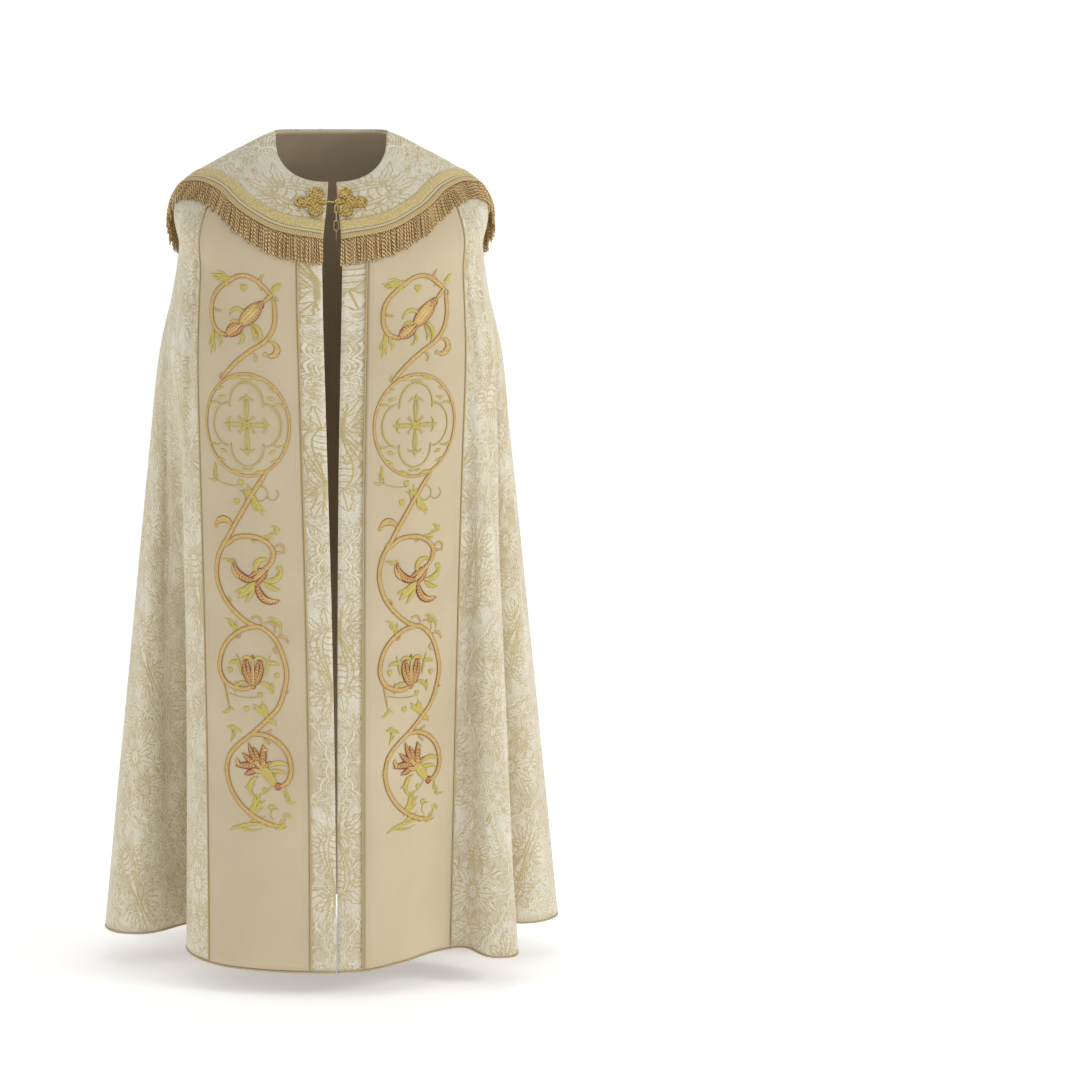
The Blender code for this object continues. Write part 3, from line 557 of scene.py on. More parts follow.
def pomegranate(a, b):
    # a fruit on the axis, with a second skin, a core of scales and a crown of rays
    gold, soft = weaving["goldLine"], weaving["soft"]
    share = ((a + weaving["fruitBack"]) / weaving["fruitLength"]).most(0.0).least(1.0)
    body = (share ** 0.62 * math.pi).sin() * weaving["fruitHalf"] + share.step(0.7, 1.0) * 0.003
    inBody = body.step(0.0005, 0.0016) * a.step(0.078, 0.062)
    core, outer = b - body * 0.62, b - body * 1.42
    skins = ((b - body).line(gold * 1.3, soft).most(core.line(gold * 1.2, soft))
             .most(outer.line(gold, soft)))
    ticks = (a * 420.0).cell().line(0.14, 0.10) * (b - body * 0.81).line(0.0028, soft)
    scales = ((a + b * b * 22.0) / 0.0105).cell().line(0.07, 0.06)
    scales = scales * core.step(0.0, -0.001) * share.step(0.72, 0.60)
    fruit = skins.most(scales).most(ticks * 0.6) * inBody
    x = a - 0.034
    reach = (x * x + b * b).root()
    rays = (b.turn(x) * 4.2).cell().line(0.06, 0.06)
    rays = rays * reach.step(0.058, 0.050) * x.step(0.0, 0.004) * reach.step(0.003, 0.006)
    return fruit, rays, inBody * outer.step(0.0, -0.001)


def brocade():
    # a mirrored, half-dropped lattice: cartouches of a raised scalloped line, each with a
    # pomegranate, leafy sprays between them, and fine contour lines over the rest
    paint = Paint("brocade")
    along, across = paint.flat()
    warp, weft = weaving["warp"], weaving["weft"]
    gold, soft = weaving["goldLine"], weaving["soft"]
    a = (along / warp + 0.5).cell() * warp
    a2 = (along / warp).cell() * warp
    b = abs((across / weft + 0.5).cell()) * weft
    b2 = weft / 2 - b
    wave = (a * (2 * math.pi / warp)).cos()
    scallop = abs((a * (14 * math.pi / warp)).sin()) * weaving["scallop"]
    middle = wave * weaving["bandReach"] + weft / 4 + scallop - weaving["scallop"] / 2
    off = (b - middle) / (1.0 + (1.0 - wave * wave) * 0.30)
    band = off.line(weaving["creamLine"], soft)
    innerOff = off + weaving["innerLine"]
    inner = innerOff.line(weaving["creamLine"] * 0.42, soft)
    rims = (abs(off) - weaving["bandRim"]).line(gold * 0.7, soft)
    innerRims = (abs(innerOff) - 0.0013).line(gold * 0.5, soft)

    # a rope of links just outside the raised line
    cell = (a / weaving["rope"]).cell() * weaving["rope"]
    rope = off - weaving["ropeOff"]
    link = ((cell * cell * 0.45 + rope * rope).root() - 0.0017).line(gold * 0.6, soft)
    link = link * (1.0 - wave * wave).step(0.35, 0.6)

    # carnations in a row beyond it
    x = (a / weaving["carnation"]).cell() * weaving["carnation"]
    y = off - weaving["carnationOff"]
    petals = (x * x + y * y).root() * (1.0 + (y.turn(x) * 8.0).sin() * 0.12)
    bloom = (wave * wave).step(0.12, 0.30)
    rings = (petals / 0.0029).cell().line(0.13, 0.12) * petals.step(0.0112, 0.0106) * bloom
    flower = petals.step(0.0110, 0.0104) * bloom

    # a pair of five-petalled flowers in each cartouche
    x, y = a - 0.004, b - 0.046
    radius = (x * x + y * y).root()
    petals = radius * (1.0 + (y.turn(x) * 5.0).cos() * 0.22)
    small = (petals - 0.0050).line(gold, soft).most((radius - 0.0016).line(gold * 0.8, soft))
    flower = flower.most(petals.step(0.0050, 0.0044))

    fruit, rays, fruitFill = pomegranate(a, b)
    lines = [fruit, rays, rings, small, link * 0.9, rims * 0.8, innerRims * 0.6]
    fills = [flower, fruitFill]
    for at, *spray in (
            ((a, b), -0.030, 0.66, 0.020, 0.038, 0.0075),
            ((a, b), 0.058, 0.78, 0.012, 0.034, 0.0070),
            ((a2, b2), -0.012, 0.58, 0.010, 0.052, 0.0090),
            ((a2, b2), 0.050, 0.70, 0.008, 0.030, 0.0066),
            ((a2, b2), -0.075, 0.90, 0.006, 0.034, 0.0066)):
        outline, fill, ribs = fan(*at, *spray)
        lines += [outline, ribs]
        fills.append(fill)
    drawn, filled = reduce(Value.most, lines), reduce(Value.most, fills)

    # contour lines that swirl over the ground, apart from plain patches
    mirrored = paint.point(abs(a2), b)
    field = paint.noise(mirrored, weaving["swirl"], 1.0, 0.35, 0.5) * weaving["contours"]
    busy = paint.noise(paint.point(abs(a2), b, 3.0), 30.0, 1.0).step(0.42, 0.52)
    busy = busy * (1.0 - filled) * (1.0 - band) * off.step(-0.020, -0.002).most(0.25)
    dashes = (along * 520.0 + across * 90.0).cell().line(0.34, 0.12) * 0.35 + 0.65
    drawn = drawn.most(field.cell().line(0.11, 0.10) * busy * 0.75) * dashes
    cream = band.most(inner * 0.9).most((field + 0.5).cell().line(0.12, 0.12) * busy * 0.7)

    flat = paint.point(along, across)
    weave = (across * 2 * math.pi * 900).sin() * (along * 2 * math.pi * 700).sin()
    thread = paint.noise(paint.point(along * 420.0, across * 120.0), 1.0, 2.0)
    grain = paint.noise(flat, 520.0, 2.0, 0.7)
    shade = paint.noise(flat, 9.0, 3.0) * 0.45 + grain * 0.65
    ground = paint.mix(shade.step(0.38, 0.72), *weaving["ground"])
    pale = paint.mix(thread, *weaving["pale"])
    yellow = paint.mix(thread, *weaving["yellow"])
    # patches of fine wavy yellow threads among paler ones
    patch = paint.noise(paint.point(abs(a2), b, 7.0), 17.0, 2.0, 0.6).step(0.42, 0.58)
    worms = (paint.noise(flat, 105.0, 1.0, 0.5, 0.8) * 4.2).cell().line(0.15, 0.13)
    worms = worms * (patch * 0.75 + 0.25) * (1.0 - filled * 0.5)
    colour = ground
    for factor, over in (((1.0 - patch) * 0.38, pale), (filled * 0.30, pale),
                         (worms * 0.66, yellow), (drawn * 0.86, yellow), (cream * 0.85, pale)):
        colour = paint.mix(factor, colour, over)
    height = (filled * 0.25 + drawn * 0.35 + worms * 0.25 + cream * 0.8 + weave * 0.10
              + grain * 0.25)
    return paint.finish(
        Base_Color=colour, Roughness=0.50 - drawn * 0.12, Metallic=drawn * 0.20,
        Sheen_Weight=0.12, Sheen_Roughness=0.4, Normal=paint.bump(height, 0.0008, 0.8))


def plainCream(name, dark, light, seams=False):
    paint = Paint(name)
    along, across = paint.flat()
    weave = (across * 3000).sin() * (along * 3000).sin()
    cloud = paint.noise(paint.point(along, across), 6.0, 3.0)
    grain = paint.noise(paint.point(along * 260.0, across * 700.0), 1.0, 2.0)
    colour = paint.mix((cloud * 0.6 + grain * 0.4).step(0.3, 0.7), dark, light)
    height = weave * 0.3 + grain
    if seams:
        # a pressed edge turned under, and its line of stitches; the fold is a groove in the bump,
        # and the darker line along it is painted shade in that groove
        edge = abs(along / cloth["orphrey"] - 0.5) - 0.455
        foldGrooveShade = edge.line(0.0045, 0.006)
        stitch = (across * 330.0).cell().line(0.30, 0.08) * edge.line(0.0030, 0.0015)
        colour = paint.mix(foldGrooveShade * 0.30, colour, (0.40, 0.31, 0.17))
        colour = paint.mix(stitch * 0.6, colour, (0.80, 0.72, 0.55))
        height = height - foldGrooveShade * 1.6 + stitch * 0.8
    return paint.finish(
        Base_Color=colour, Roughness=0.8, Sheen_Weight=0.2, Normal=paint.bump(height, 0.0003, 0.5))


brocadeLook = brocade()
liningLook = plainCream("lining", (0.60, 0.49, 0.33), (0.70, 0.59, 0.42))
creamLook = plainCream("orphrey cloth", (0.590, 0.485, 0.310), (0.665, 0.560, 0.375), seams=True)


# The cope and the hood

flatCut = {"neckRadius": 0.15 / 0.85, "hoodRadius": 0.17, "hoodTurn": 1.6}


def makeCope():
    points, turns = wholeCope(levelRows(cloth["rows"]), cloth["columns"])
    radius = flatCut["neckRadius"] + lengthsAlong(points)
    flat = flatGrid(points, radius * np.cos(turns), radius * np.sin(turns))
    print("cope made, its hem", round(hemLength(-1) + hemLength(1), 3), "metres")
    return keep("cope", gridMesh("cope", points, flat), [brocadeLook, liningLook],
                ["cope_body"], cloth["wall"], inner=1), points


def makeHood():
    lines = hoodLines(cloth["hoodColumns"])
    shares = np.linspace(0, 1, cloth["hoodRows"])
    points = np.stack([pick(line, lengths, shares * end) for line, lengths, end in lines], axis=1)
    turns = np.linspace(-flatCut["hoodTurn"], flatCut["hoodTurn"], points.shape[1])
    radius = flatCut["hoodRadius"] + lengthsAlong(points)
    flat = flatGrid(points, -radius * np.cos(turns), radius * np.sin(turns))
    return keep("hoodCloth", gridMesh("hoodCloth", points, flat), [brocadeLook, liningLook],
                ["hood"], cloth["hoodWall"], inner=1), lines


cope, copeGrid = makeCope()
hood, hoodCuts = makeHood()
hoodTree = treeOf(hood.data)
print("cloth made")


# Trims that follow a line: bands on the hood, twisted cords, the fringe

def twisted(name, dark, light, turnsPerMetre, strands, roughness=0.45, metallic=0.25,
            relief=0.0005, glints=0.0):
    # a twisted yarn; its UV map holds the share round it and the length along it
    paint = Paint(name)
    around, along = paint.flat()
    tone = paint.add("TexWhiteNoise", {"noise_dimensions": "1D"}, {"W": around.floor()})
    turned = (along * turnsPerMetre + around * strands) * 2 * math.pi
    ply = (turned + tone * 40.0 if glints else turned).sin()
    height = ply.step(-1.0, 1.0)
    fibre = paint.noise(paint.point(around * 9.0, along * 900.0), 1.0, 2.0)
    shade = height * 0.75 + fibre * 0.2 + (tone - 0.5) * 0.35
    colour = paint.mix(shade.step(0.05, 0.95), dark, light)
    if glints:
        spark = paint.noise(paint.place(), 420.0, 2.0, 0.6).step(0.50, 0.66) * height
        colour = paint.mix(spark * glints, colour, (1.0, 0.84, 0.52))
    return paint.finish(Base_Color=colour, Roughness=roughness, Metallic=metallic,
                        Normal=paint.bump(height + fibre * 0.3, relief))


def tubeGrid(route, radius, around, closed=False, first=(0.3, 0.5, 0.8)):
    # rings of points along a route, by frames that turn as little as possible
    route = np.asarray(route, float)
    if closed:
        tangents = unit(np.roll(route, -1, 0) - np.roll(route, 1, 0))
    else:
        tangents = unit(np.gradient(route, axis=0))
    side = np.cross(tangents[0], first)
    frames = []
    for tangent in tangents:
        side = side - tangent * side.dot(tangent)
        side /= np.linalg.norm(side)
        frames.append((side, np.cross(tangent, side)))
    angles = np.linspace(0, 2 * np.pi, around + 1)
    radius = np.broadcast_to(radius, len(route))
    rings = np.array([place + r * (np.cos(angles)[:, None] * a + np.sin(angles)[:, None] * b)
                      for place, r, (a, b) in zip(route, radius, frames)])
    if closed:
        rings, route = (np.concatenate([part, part[:1]]) for part in (rings, route))
    return rings, flatGrid(rings, angles[None] / (2 * np.pi), lengthsAlong(route)[:, None])


def closeSeams(mesh):
    # joins the seam of each tube, then turns every face outwards
    bm = opened(mesh)
    bmesh.ops.remove_doubles(bm, verts=bm.verts, dist=1e-6)
    bmesh.ops.holes_fill(bm, edges=[edge for edge in bm.edges if edge.is_boundary], sides=24)
    bmesh.ops.recalc_face_normals(bm, faces=bm.faces)
    bm.to_mesh(mesh)
    bm.free()
    mesh.shade_smooth()
    return mesh


def cordPiece(name, route, radius, look, hides, around=8, closed=False, body="garment"):
    mesh = closeSeams(gridsMesh(name, [tubeGrid(route, radius, around, closed)]))
    return keep(name, mesh, look, hides, body=body)


trim = {
    "galloon": 0.019, "edging": 0.005, "header": 0.0085, "wall": 0.0012, "lift": 0.0007,
    "length": 0.0445, "clear": 0.0040, "strands": 620, "radius": 0.00150, "steps": 7,
    "underHeader": 0.002, "sway": 0.00034, "uneven": 0.16, "tip": 0.06, "thick": (0.86, 1.12),
    "behind": (0.0004, 0.0012), "seed": 11,
}


def galloonLook():
    # olive gold tinsel weave with bright flecks, between two fine borders
    paint = Paint("galloon")
    along, across = paint.flat()
    border = (abs(across / trim["galloon"] - 0.5) - 0.42).line(0.035, 0.02)
    cells = (along * 420.0).cell().line(0.30, 0.12) * (across * 700.0).cell().line(0.30, 0.12)
    at = paint.point(along, across)
    fleck = paint.noise(at, 620.0, 2.0, 0.7).step(0.44, 0.66)
    patch = paint.noise(paint.point(along, across * 2.0), 160.0, 2.0).step(0.35, 0.65)
    glint = paint.noise(at, 1500.0, 1.0).step(0.60, 0.74)
    shine = fleck * 0.55 + patch * 0.35 + cells * 0.15 + border * 0.25
    colour = paint.mix(shine.step(0.0, 1.2), (0.60, 0.45, 0.165), (1.0, 0.85, 0.43))
    height = fleck * 0.6 + patch * 0.3 + cells * 0.3 + border * 0.6
    return paint.finish(Base_Color=paint.mix(glint * 0.7, colour, (0.98, 0.90, 0.66)),
                        Roughness=0.42, Metallic=0.15, Normal=paint.bump(height, 0.0006))


def edgingLook():
    # a fine cream braid between two rows of gold threads
    paint = Paint("edging")
    along, across = paint.flat()
    twill = ((along * 420.0 + across * 500.0) * 2 * math.pi).sin()
    light = twill.step(-1.0, 1.0)
    sides = abs(across / trim["edging"] - 0.5).step(0.26, 0.36)
    cream = paint.mix(light, (0.62, 0.53, 0.33), (0.88, 0.80, 0.57))
    olive = paint.mix(light, (0.46, 0.33, 0.13), (0.76, 0.58, 0.28))
    return paint.finish(Base_Color=paint.mix(sides, cream, olive), Roughness=0.6, Sheen_Weight=0.2,
                        Normal=paint.bump(twill - sides * 0.5, 0.0003))


def headerLook():
    # the woven top of the fringe
    paint = Paint("fringe header")
    along, across = paint.flat()
    ribs = (along * 2 * math.pi * 310).sin()
    picks = (across * 2 * math.pi * 420 + (along * 310.0).floor() * 3.14).sin()
    fleck = paint.noise(paint.point(along, across), 1200.0, 2.0)
    height = ribs * 0.4 + picks * 0.4 + fleck * 0.6
    colour = paint.mix(height.step(-0.6, 1.0), (0.31, 0.21, 0.075), (0.84, 0.64, 0.31))
    return paint.finish(Base_Color=colour, Roughness=0.5, Metallic=0.12,
                        Normal=paint.bump(height, 0.0004))


def makeBand(name, start, stop, thickness, rows, look, hides, roundness=0.22):
    # start and stop are distances past the galloon's upper edge, square to the hood's edge
    slant = slantOf(hoodCuts)
    whole = trim["galloon"] + trim["edging"]
    shares = np.linspace(0, 1, rows)
    points = np.stack([pastEdge(hoodCuts, slant * (start + (stop - start) * share - whole))
                       for share in shares])
    crown = 1 - np.abs(2 * shares - 1) ** 4
    height = trim["lift"] + thickness * (1 - roundness + roundness * crown)
    points = points + normalsOf(points) * height[:, None, None]
    flat = flatGrid(points, lengthsAlong(points[rows // 2]), (shares * (stop - start))[:, None])
    keep(name, gridMesh(name, points, flat), look, hides, thickness * 0.9)


def hang(start, outward, length, clothBelow, slump):
    # one step of a strand: down the slope, then clear of the cloth; slump 1 is straight down
    down = Vector((0, 0, -1))
    along = down - outward * down.dot(outward) * (1 - slump)
    end = start + along.normalized() * length
    under, normal, _, _ = clothBelow.find_nearest(end)
    short = trim["clear"] - (end - under).dot(normal)
    return end + normal * max(0.0, short)


def bell(count):
    return np.hanning(count) / np.hanning(count).sum()


def underLayer(routes, reach=23):
    # the mass of threads behind the strands: one smooth closed band
    padded = np.pad(routes, ((reach // 2,) * 2, (0, 0), (0, 0)), "edge")
    smoothed = np.stack([np.tensordot(bell(reach), padded[i:i + reach], 1)
                         for i in range(len(routes))])
    rows = smoothed.transpose(1, 0, 2)
    rows[-1] = rows[-2] + (rows[-1] - rows[-2]) * 0.55
    inward = normalsOf(rows)
    flat = flatGrid(rows, np.arange(rows.shape[1]) * 0.999, lengthsAlong(rows[:, 0])[:, None])
    front, back = (rows - inward * depth for depth in trim["behind"])
    return tuple(np.concatenate([one, other[::-1], one[:1]])
                 for one, other in ((front, back), (flat, flat)))


def makeFringe():
    # the strands start under the header's foot
    lines = hoodLines(trim["strands"] // 2)
    slant = slantOf(lines)
    foot = 2 * cloth["gap"] + trim["header"]
    starts = pastEdge(lines, (foot - trim["underHeader"]) * slant)
    above = pastEdge(lines, (foot - 4 * trim["underHeader"]) * slant)
    outward = normalsOf(np.stack([above, starts]))[-1]
    outward = np.stack([np.convolve(np.pad(column, 17, "edge"), bell(35), "valid")
                        for column in outward.T], -1)
    below = treeOf(cope.data)
    spread = np.random.default_rng(trim["seed"])
    grids, routes = [], []
    steps = trim["steps"] - 1
    step = (trim["length"] + trim["underHeader"]) / steps
    for number, (start, out) in enumerate(zip((starts[1:] + starts[:-1]) / 2,
                                              (outward[1:] + outward[:-1]) / 2)):
        out = Vector(out).normalized()
        route = [Vector(start) - out * 0.0006]
        sway = Vector(spread.normal(0, trim["sway"], 3))
        for done in range(steps):
            slump = min(1.0, 0.12 + 0.2 * done)
            route.append(hang(route[-1], out, step, below, slump) + sway)
        end = route[-1] - route[-2]
        route[-1] = route[-2] + end * (0.9 + spread.uniform(0, trim["uneven"]))
        route = np.array([list(place) for place in route + [route[-1] + end * trim["tip"]]])
        radii = (np.array([1.0] * steps + [0.95, 0.35]) * trim["radius"]
                 * spread.uniform(*trim["thick"]))
        points, flat = tubeGrid(route, radii, 5, first=(0.2, 0.1, 0.9))
        grids.append((points, flat + np.array([number, 0.0])))
        routes.append(route[:-1])
    mesh = closeSeams(gridsMesh("fringe", grids + [underLayer(np.array(routes))]))
    keep("fringe", mesh, twisted("bullion", (0.245, 0.132, 0.043), (0.97, 0.70, 0.32), 150.0, 2,
                                 0.42, 0.15, 0.0009, 0.75))
    print("fringe", len(routes), "strands")


def makeTrims():
    whole, gap, wall = trim["galloon"] + trim["edging"], cloth["gap"], trim["wall"]
    foot = whole + 2 * gap
    makeBand("galloon", 0.0, trim["galloon"] - gap, wall, 7, galloonLook(),
             ["hood_galloon"], roundness=0.55)
    makeBand("edging", trim["galloon"], whole, wall * 1.05, 7, edgingLook(),
             ["hood_edging"])
    makeBand("fringeHeader", foot, foot + trim["header"], wall * 1.1, 6, headerLook(),
             ["hood_fringe"])
    makeFringe()


sideNames = {-1: "Left", 1: "Right"}


def makeOrphrey(side):
    name, count = sideNames[side], cloth["orphreyColumns"]
    rows = levelRows(cloth["orphreyRows"])
    points = creasedHalf(side, rows[rows >= cloth["orphreyTop"]],
                         np.linspace(cloth["strip"], panelEnd, count))[:, ::-side]  # left to right
    normals = normalsOf(points)
    flat = flatGrid(points, np.linspace(0, cloth["orphrey"], count), lengthsAlong(points))
    laid = points + normals * (cloth["gap"] + cloth["orphreyWall"])
    piece = "orphrey" + name
    made = keep(piece, gridMesh(piece, laid, flat), creamLook,
                ["orphrey_" + name.lower()], cloth["orphreyWall"])
    radius = cloth["cordRadius"]
    off = radius + 2 * cloth["gap"]
    for at, beside, edge in ((0, 1, "Outer" if side > 0 else "Inner"),
                             (-1, -2, "Inner" if side > 0 else "Outer")):
        towards = unit(points[:, at] - points[:, beside])
        route = points[:, at] + towards * off + normals[:, at] * off
        cordPiece("cord" + name + edge, route, radius, goldCordLook,
                  ["orphrey_cord_" + name.lower() + "_" + edge.lower()])
    return made, laid, normals, flat


def makePiping():
    route = copeGrid[-1] - normalsOf(copeGrid)[-1] * cloth["wall"] / 2
    route[:, 2] -= cloth["pipingRadius"] + 2 * cloth["gap"]
    look = twisted("tan piping", (0.36, 0.26, 0.12), (0.62, 0.49, 0.28), 420.0, 1, 0.6, 0.0, 0.0003)
    return cordPiece("hemPiping", route, cloth["pipingRadius"], look, ["hem_piping"])


goldCordLook = twisted("gold cord", (0.36, 0.235, 0.085), (0.82, 0.65, 0.33), 300.0, 2, 0.5, 0.1)
makeTrims()
orphreys = {side: makeOrphrey(side) for side in sideNames}
piping = makePiping()
print("trims made")


# Satin stitching, drawn flat and laid on a surface

def satin(name, dark, light, edge, edgeFrom=0.72, slant=0.0, rib=0.0, veins=0.0):
    # u runs from -1 to 1 across each stitched shape, v is the length along it
    paint = Paint(name)
    across, along = paint.flat()
    threads = ((along * 2600.0 + across * slant) * 2 * math.pi).sin()
    tone = paint.noise(paint.point(across * 1.5, along * 260.0), 1.0, 1.0)
    colour = paint.mix((threads * 0.25 + tone).step(0.15, 0.95), dark, light)
    rim = abs(across).step(edgeFrom - 0.06, edgeFrom + 0.06)
    if rib:
        rim = rim.most(abs(across).step(rib + 0.04, rib))
    if veins:
        rim = rim.most((along * veins + abs(across) * 0.9).cell().line(0.10, 0.08) * 0.85)
    height = threads * 0.5 + tone * 0.3 - rim * 0.6
    return paint.finish(
        Base_Color=paint.mix(rim, colour, edge), Roughness=0.42 + rim * 0.15, Metallic=0.0,
        Normal=paint.bump(height, 0.00025, 0.8))


def stitchedPiece(name, parts, looks):
    # parts are stitched shapes, each with the number of its look
    mesh = gridsMesh(name, [grid for grid, _ in parts])
    counts = [(points.shape[0] - 1) * (points.shape[1] - 1) for (points, _), _ in parts]
    mesh.polygons.foreach_set("material_index", np.repeat([look for _, look in parts], counts))
    mesh.shade_smooth()
    return keep(name, mesh, looks, wall=stitching["wall"])


def spline(knots, count):
    knots = np.array(knots, float)
    along = lengthsAlong(knots[:, :2])
    return smooth(np.linspace(0, along[-1], count), along, knots)


def curled(x, y, heading, length, bend, count=9):
    # a line that starts at x, y, heads that many degrees round from +x and turns by bend
    angles = np.radians(heading + bend * (np.arange(count - 1) + 0.5) / (count - 1))
    steps = np.stack([np.cos(angles), np.sin(angles)], -1) * length / (count - 1)
    return np.concatenate([[(x, y)], np.array([x, y]) + np.cumsum(steps, axis=0)])


def spoke(x, y, reach, angle):
    # the place at this distance and angle from x, y
    return x + reach * math.cos(angle), y + reach * math.sin(angle)


def leafWidths(count, width, blunt=0.6, tip=0.08):
    shares = np.linspace(0, 1, count)
    return width * np.maximum(tip, np.sin(np.pi * shares**blunt) ** 0.8)


def stitched(place, route, widths, height, lift=0.0, across=5, turnOver=False):
    # a stitched shape along a flat route: half widths from it, and a rounded top
    route = np.asarray(route, float)
    tangents = unit(np.gradient(route, axis=0))
    square = np.stack([-tangents[:, 1], tangents[:, 0]], -1)
    shares = np.linspace(-1, 1, across)
    widths = np.broadcast_to(widths, len(route))
    flat = route[:, None] + square[:, None] * widths[:, None, None] * shares[None, :, None]
    points, normals = place(flat)
    crown = height * (1 - shares**2) * np.clip(widths / widths.max(), 0.3, 1)[:, None]
    points = points + normals * (lift + crown)[:, :, None]
    if turnOver:
        points, shares = points[:, ::-1], shares[::-1]
    return points, flatGrid(points, shares, lengthsAlong(route)[:, None])


# The scrolling embroidery down each orphrey; sizes in millimetres, x from the left edge of the
# band as it's seen from the front, y down from the top of the first scroll

stitching = {"top": -0.249, "stem": 3.7, "stemEnd": 0.9, "relief": 0.0009, "lift": 0.0004,
             "unit": 0.001, "wall": 0.0003, "tendril": 0.55}
gold, green, bloom, ball, thin, cup = range(6)
scrolls = [  # the stems, and the scroll inside each roundel
    [(135, 40), (138, 60), (138, 78), (132, 101), (121, 116), (95, 134), (68, 156), (43, 184)],
    [(134, 38), (119, 23), (106, 13), (90, 8), (77, 10), (63, 18), (47, 30), (36, 41), (28, 57),
     (26, 75), (28, 90), (34, 101), (44, 108), (56, 109)],
    [(118, 51), (136, 34)],
    [(120, 332), (102, 357), (88, 378), (73, 403), (58, 427), (46, 448), (34, 467), (28, 484),
     (26, 508), (30, 526), (39, 545), (53, 562), (70, 577), (90, 588), (103, 591), (117, 601),
     (129, 617), (137, 638), (142, 660), (138, 692), (126, 722), (106, 743), (82, 765), (60, 782),
     (44, 800), (38, 822), (41, 846), (52, 868), (68, 886), (98, 905), (126, 914)],
    [(42, 460), (60, 445), (82, 441), (102, 444), (117, 453), (125, 466), (123, 479), (112, 494)],
    [(98, 590), (78, 592), (58, 602), (41, 618), (30, 641), (28, 662), (37, 681), (54, 690),
     (70, 692), (86, 687)],
    [(80, 766), (102, 765), (121, 773), (138, 789), (146, 810), (146, 828), (138, 843), (127, 848)],
]
sprigs = [  # x, y, heading, length, bend, half width, look: stalks, hooks and leaves on the stems
    (66, 16, 184, 44, -8, 3.4, green), (64, 20, 178, 36, 8, 2.8, green),
    (45, 33, -42, 28, 12, 3.2, green), (28, 64, 70, 18, -80, 1.9, gold),
    (112, 18, -78, 15, 24, 2.6, gold), (124, 31, -60, 15, -200, 1.5, gold),
    (134, 39, -25, 22, 220, 1.5, gold), (134, 29, -42, 20, 0, 4.6, green),
    (30, 100, 90, 44, 14, 2.9, green), (36, 108, 50, 24, 50, 3.0, green),
    (124, 118, -22, 52, 245, 5.6, gold), (97, 138, -5, 17, 130, 2.0, gold),
    (42, 185, -115, 11, 60, 1.8, gold), (28, 322, 80, 34, 30, 2.0, green),
    (30, 350, 150, 16, 70, 2.2, green), (90, 370, 64, 42, -4, 5.0, green),
    (94, 376, 212, 22, 14, 3.2, green), (91, 370, 240, 17, 12, 3.0, green),
    (57, 428, -98, 42, -155, 6.2, gold), (40, 460, 205, 17, 190, 1.7, gold),
    (29, 486, 250, 12, 20, 2.0, gold), (98, 443, 70, 16, 200, 1.6, gold),
    (123, 478, 205, 15, 190, 1.5, gold), (124, 464, 25, 18, -30, 1.9, gold),
    (138, 468, -20, 28, -220, 1.8, gold), (102, 443, -6, 34, -20, 1.9, green),
    (132, 437, -60, 20, -130, 2.6, green), (37, 548, -70, 24, 210, 1.8, gold),
    (36, 480, 4, 28, 8, 1.6, green), (55, 603, -72, 36, -105, 3.0, green),
    (100, 588, -50, 28, -175, 1.8, gold), (106, 584, -40, 30, 150, 1.9, gold),
    (112, 574, -8, 44, 130, 2.2, green), (126, 609, -62, 26, 150, 2.5, gold),
    (128, 622, 195, 15, -185, 1.9, gold), (56, 607, 60, 16, -200, 1.6, gold),
    (31, 672, 74, 56, 6, 1.9, gold), (45, 722, 110, 20, 70, 1.8, green),
    (45, 722, 25, 10, 30, 1.4, green), (136, 702, 215, 20, 200, 1.8, gold),
    (107, 733, 48, 24, -6, 3.6, green), (113, 738, 214, 36, 12, 4.2, green),
    (110, 732, 236, 24, 20, 3.0, green), (45, 780, -66, 28, -16, 1.7, green),
    (58, 758, -158, 20, -30, 2.8, green), (55, 757, 28, 12, 0, 2.2, green),
    (104, 767, -62, 14, 40, 1.9, gold), (101, 768, 62, 16, -30, 1.9, gold),
    (31, 822, 8, 12, 0, 1.7, green), (31, 829, 0, 12, 0, 1.5, green),
    (137, 850, 84, 24, -24, 2.0, green), (138, 870, 44, 18, -70, 2.0, green),
    (75, 900, -62, 46, 2, 4.4, green), (79, 897, -44, 36, -8, 3.0, green),
    (120, 917, -4, 34, -115, 2.2, green), (144, 899, -95, 12, -70, 2.8, green),
    (41, 923, -25, 86, 34, 3.0, green), (130, 912, 186, 30, 0, 2.2, green),
]
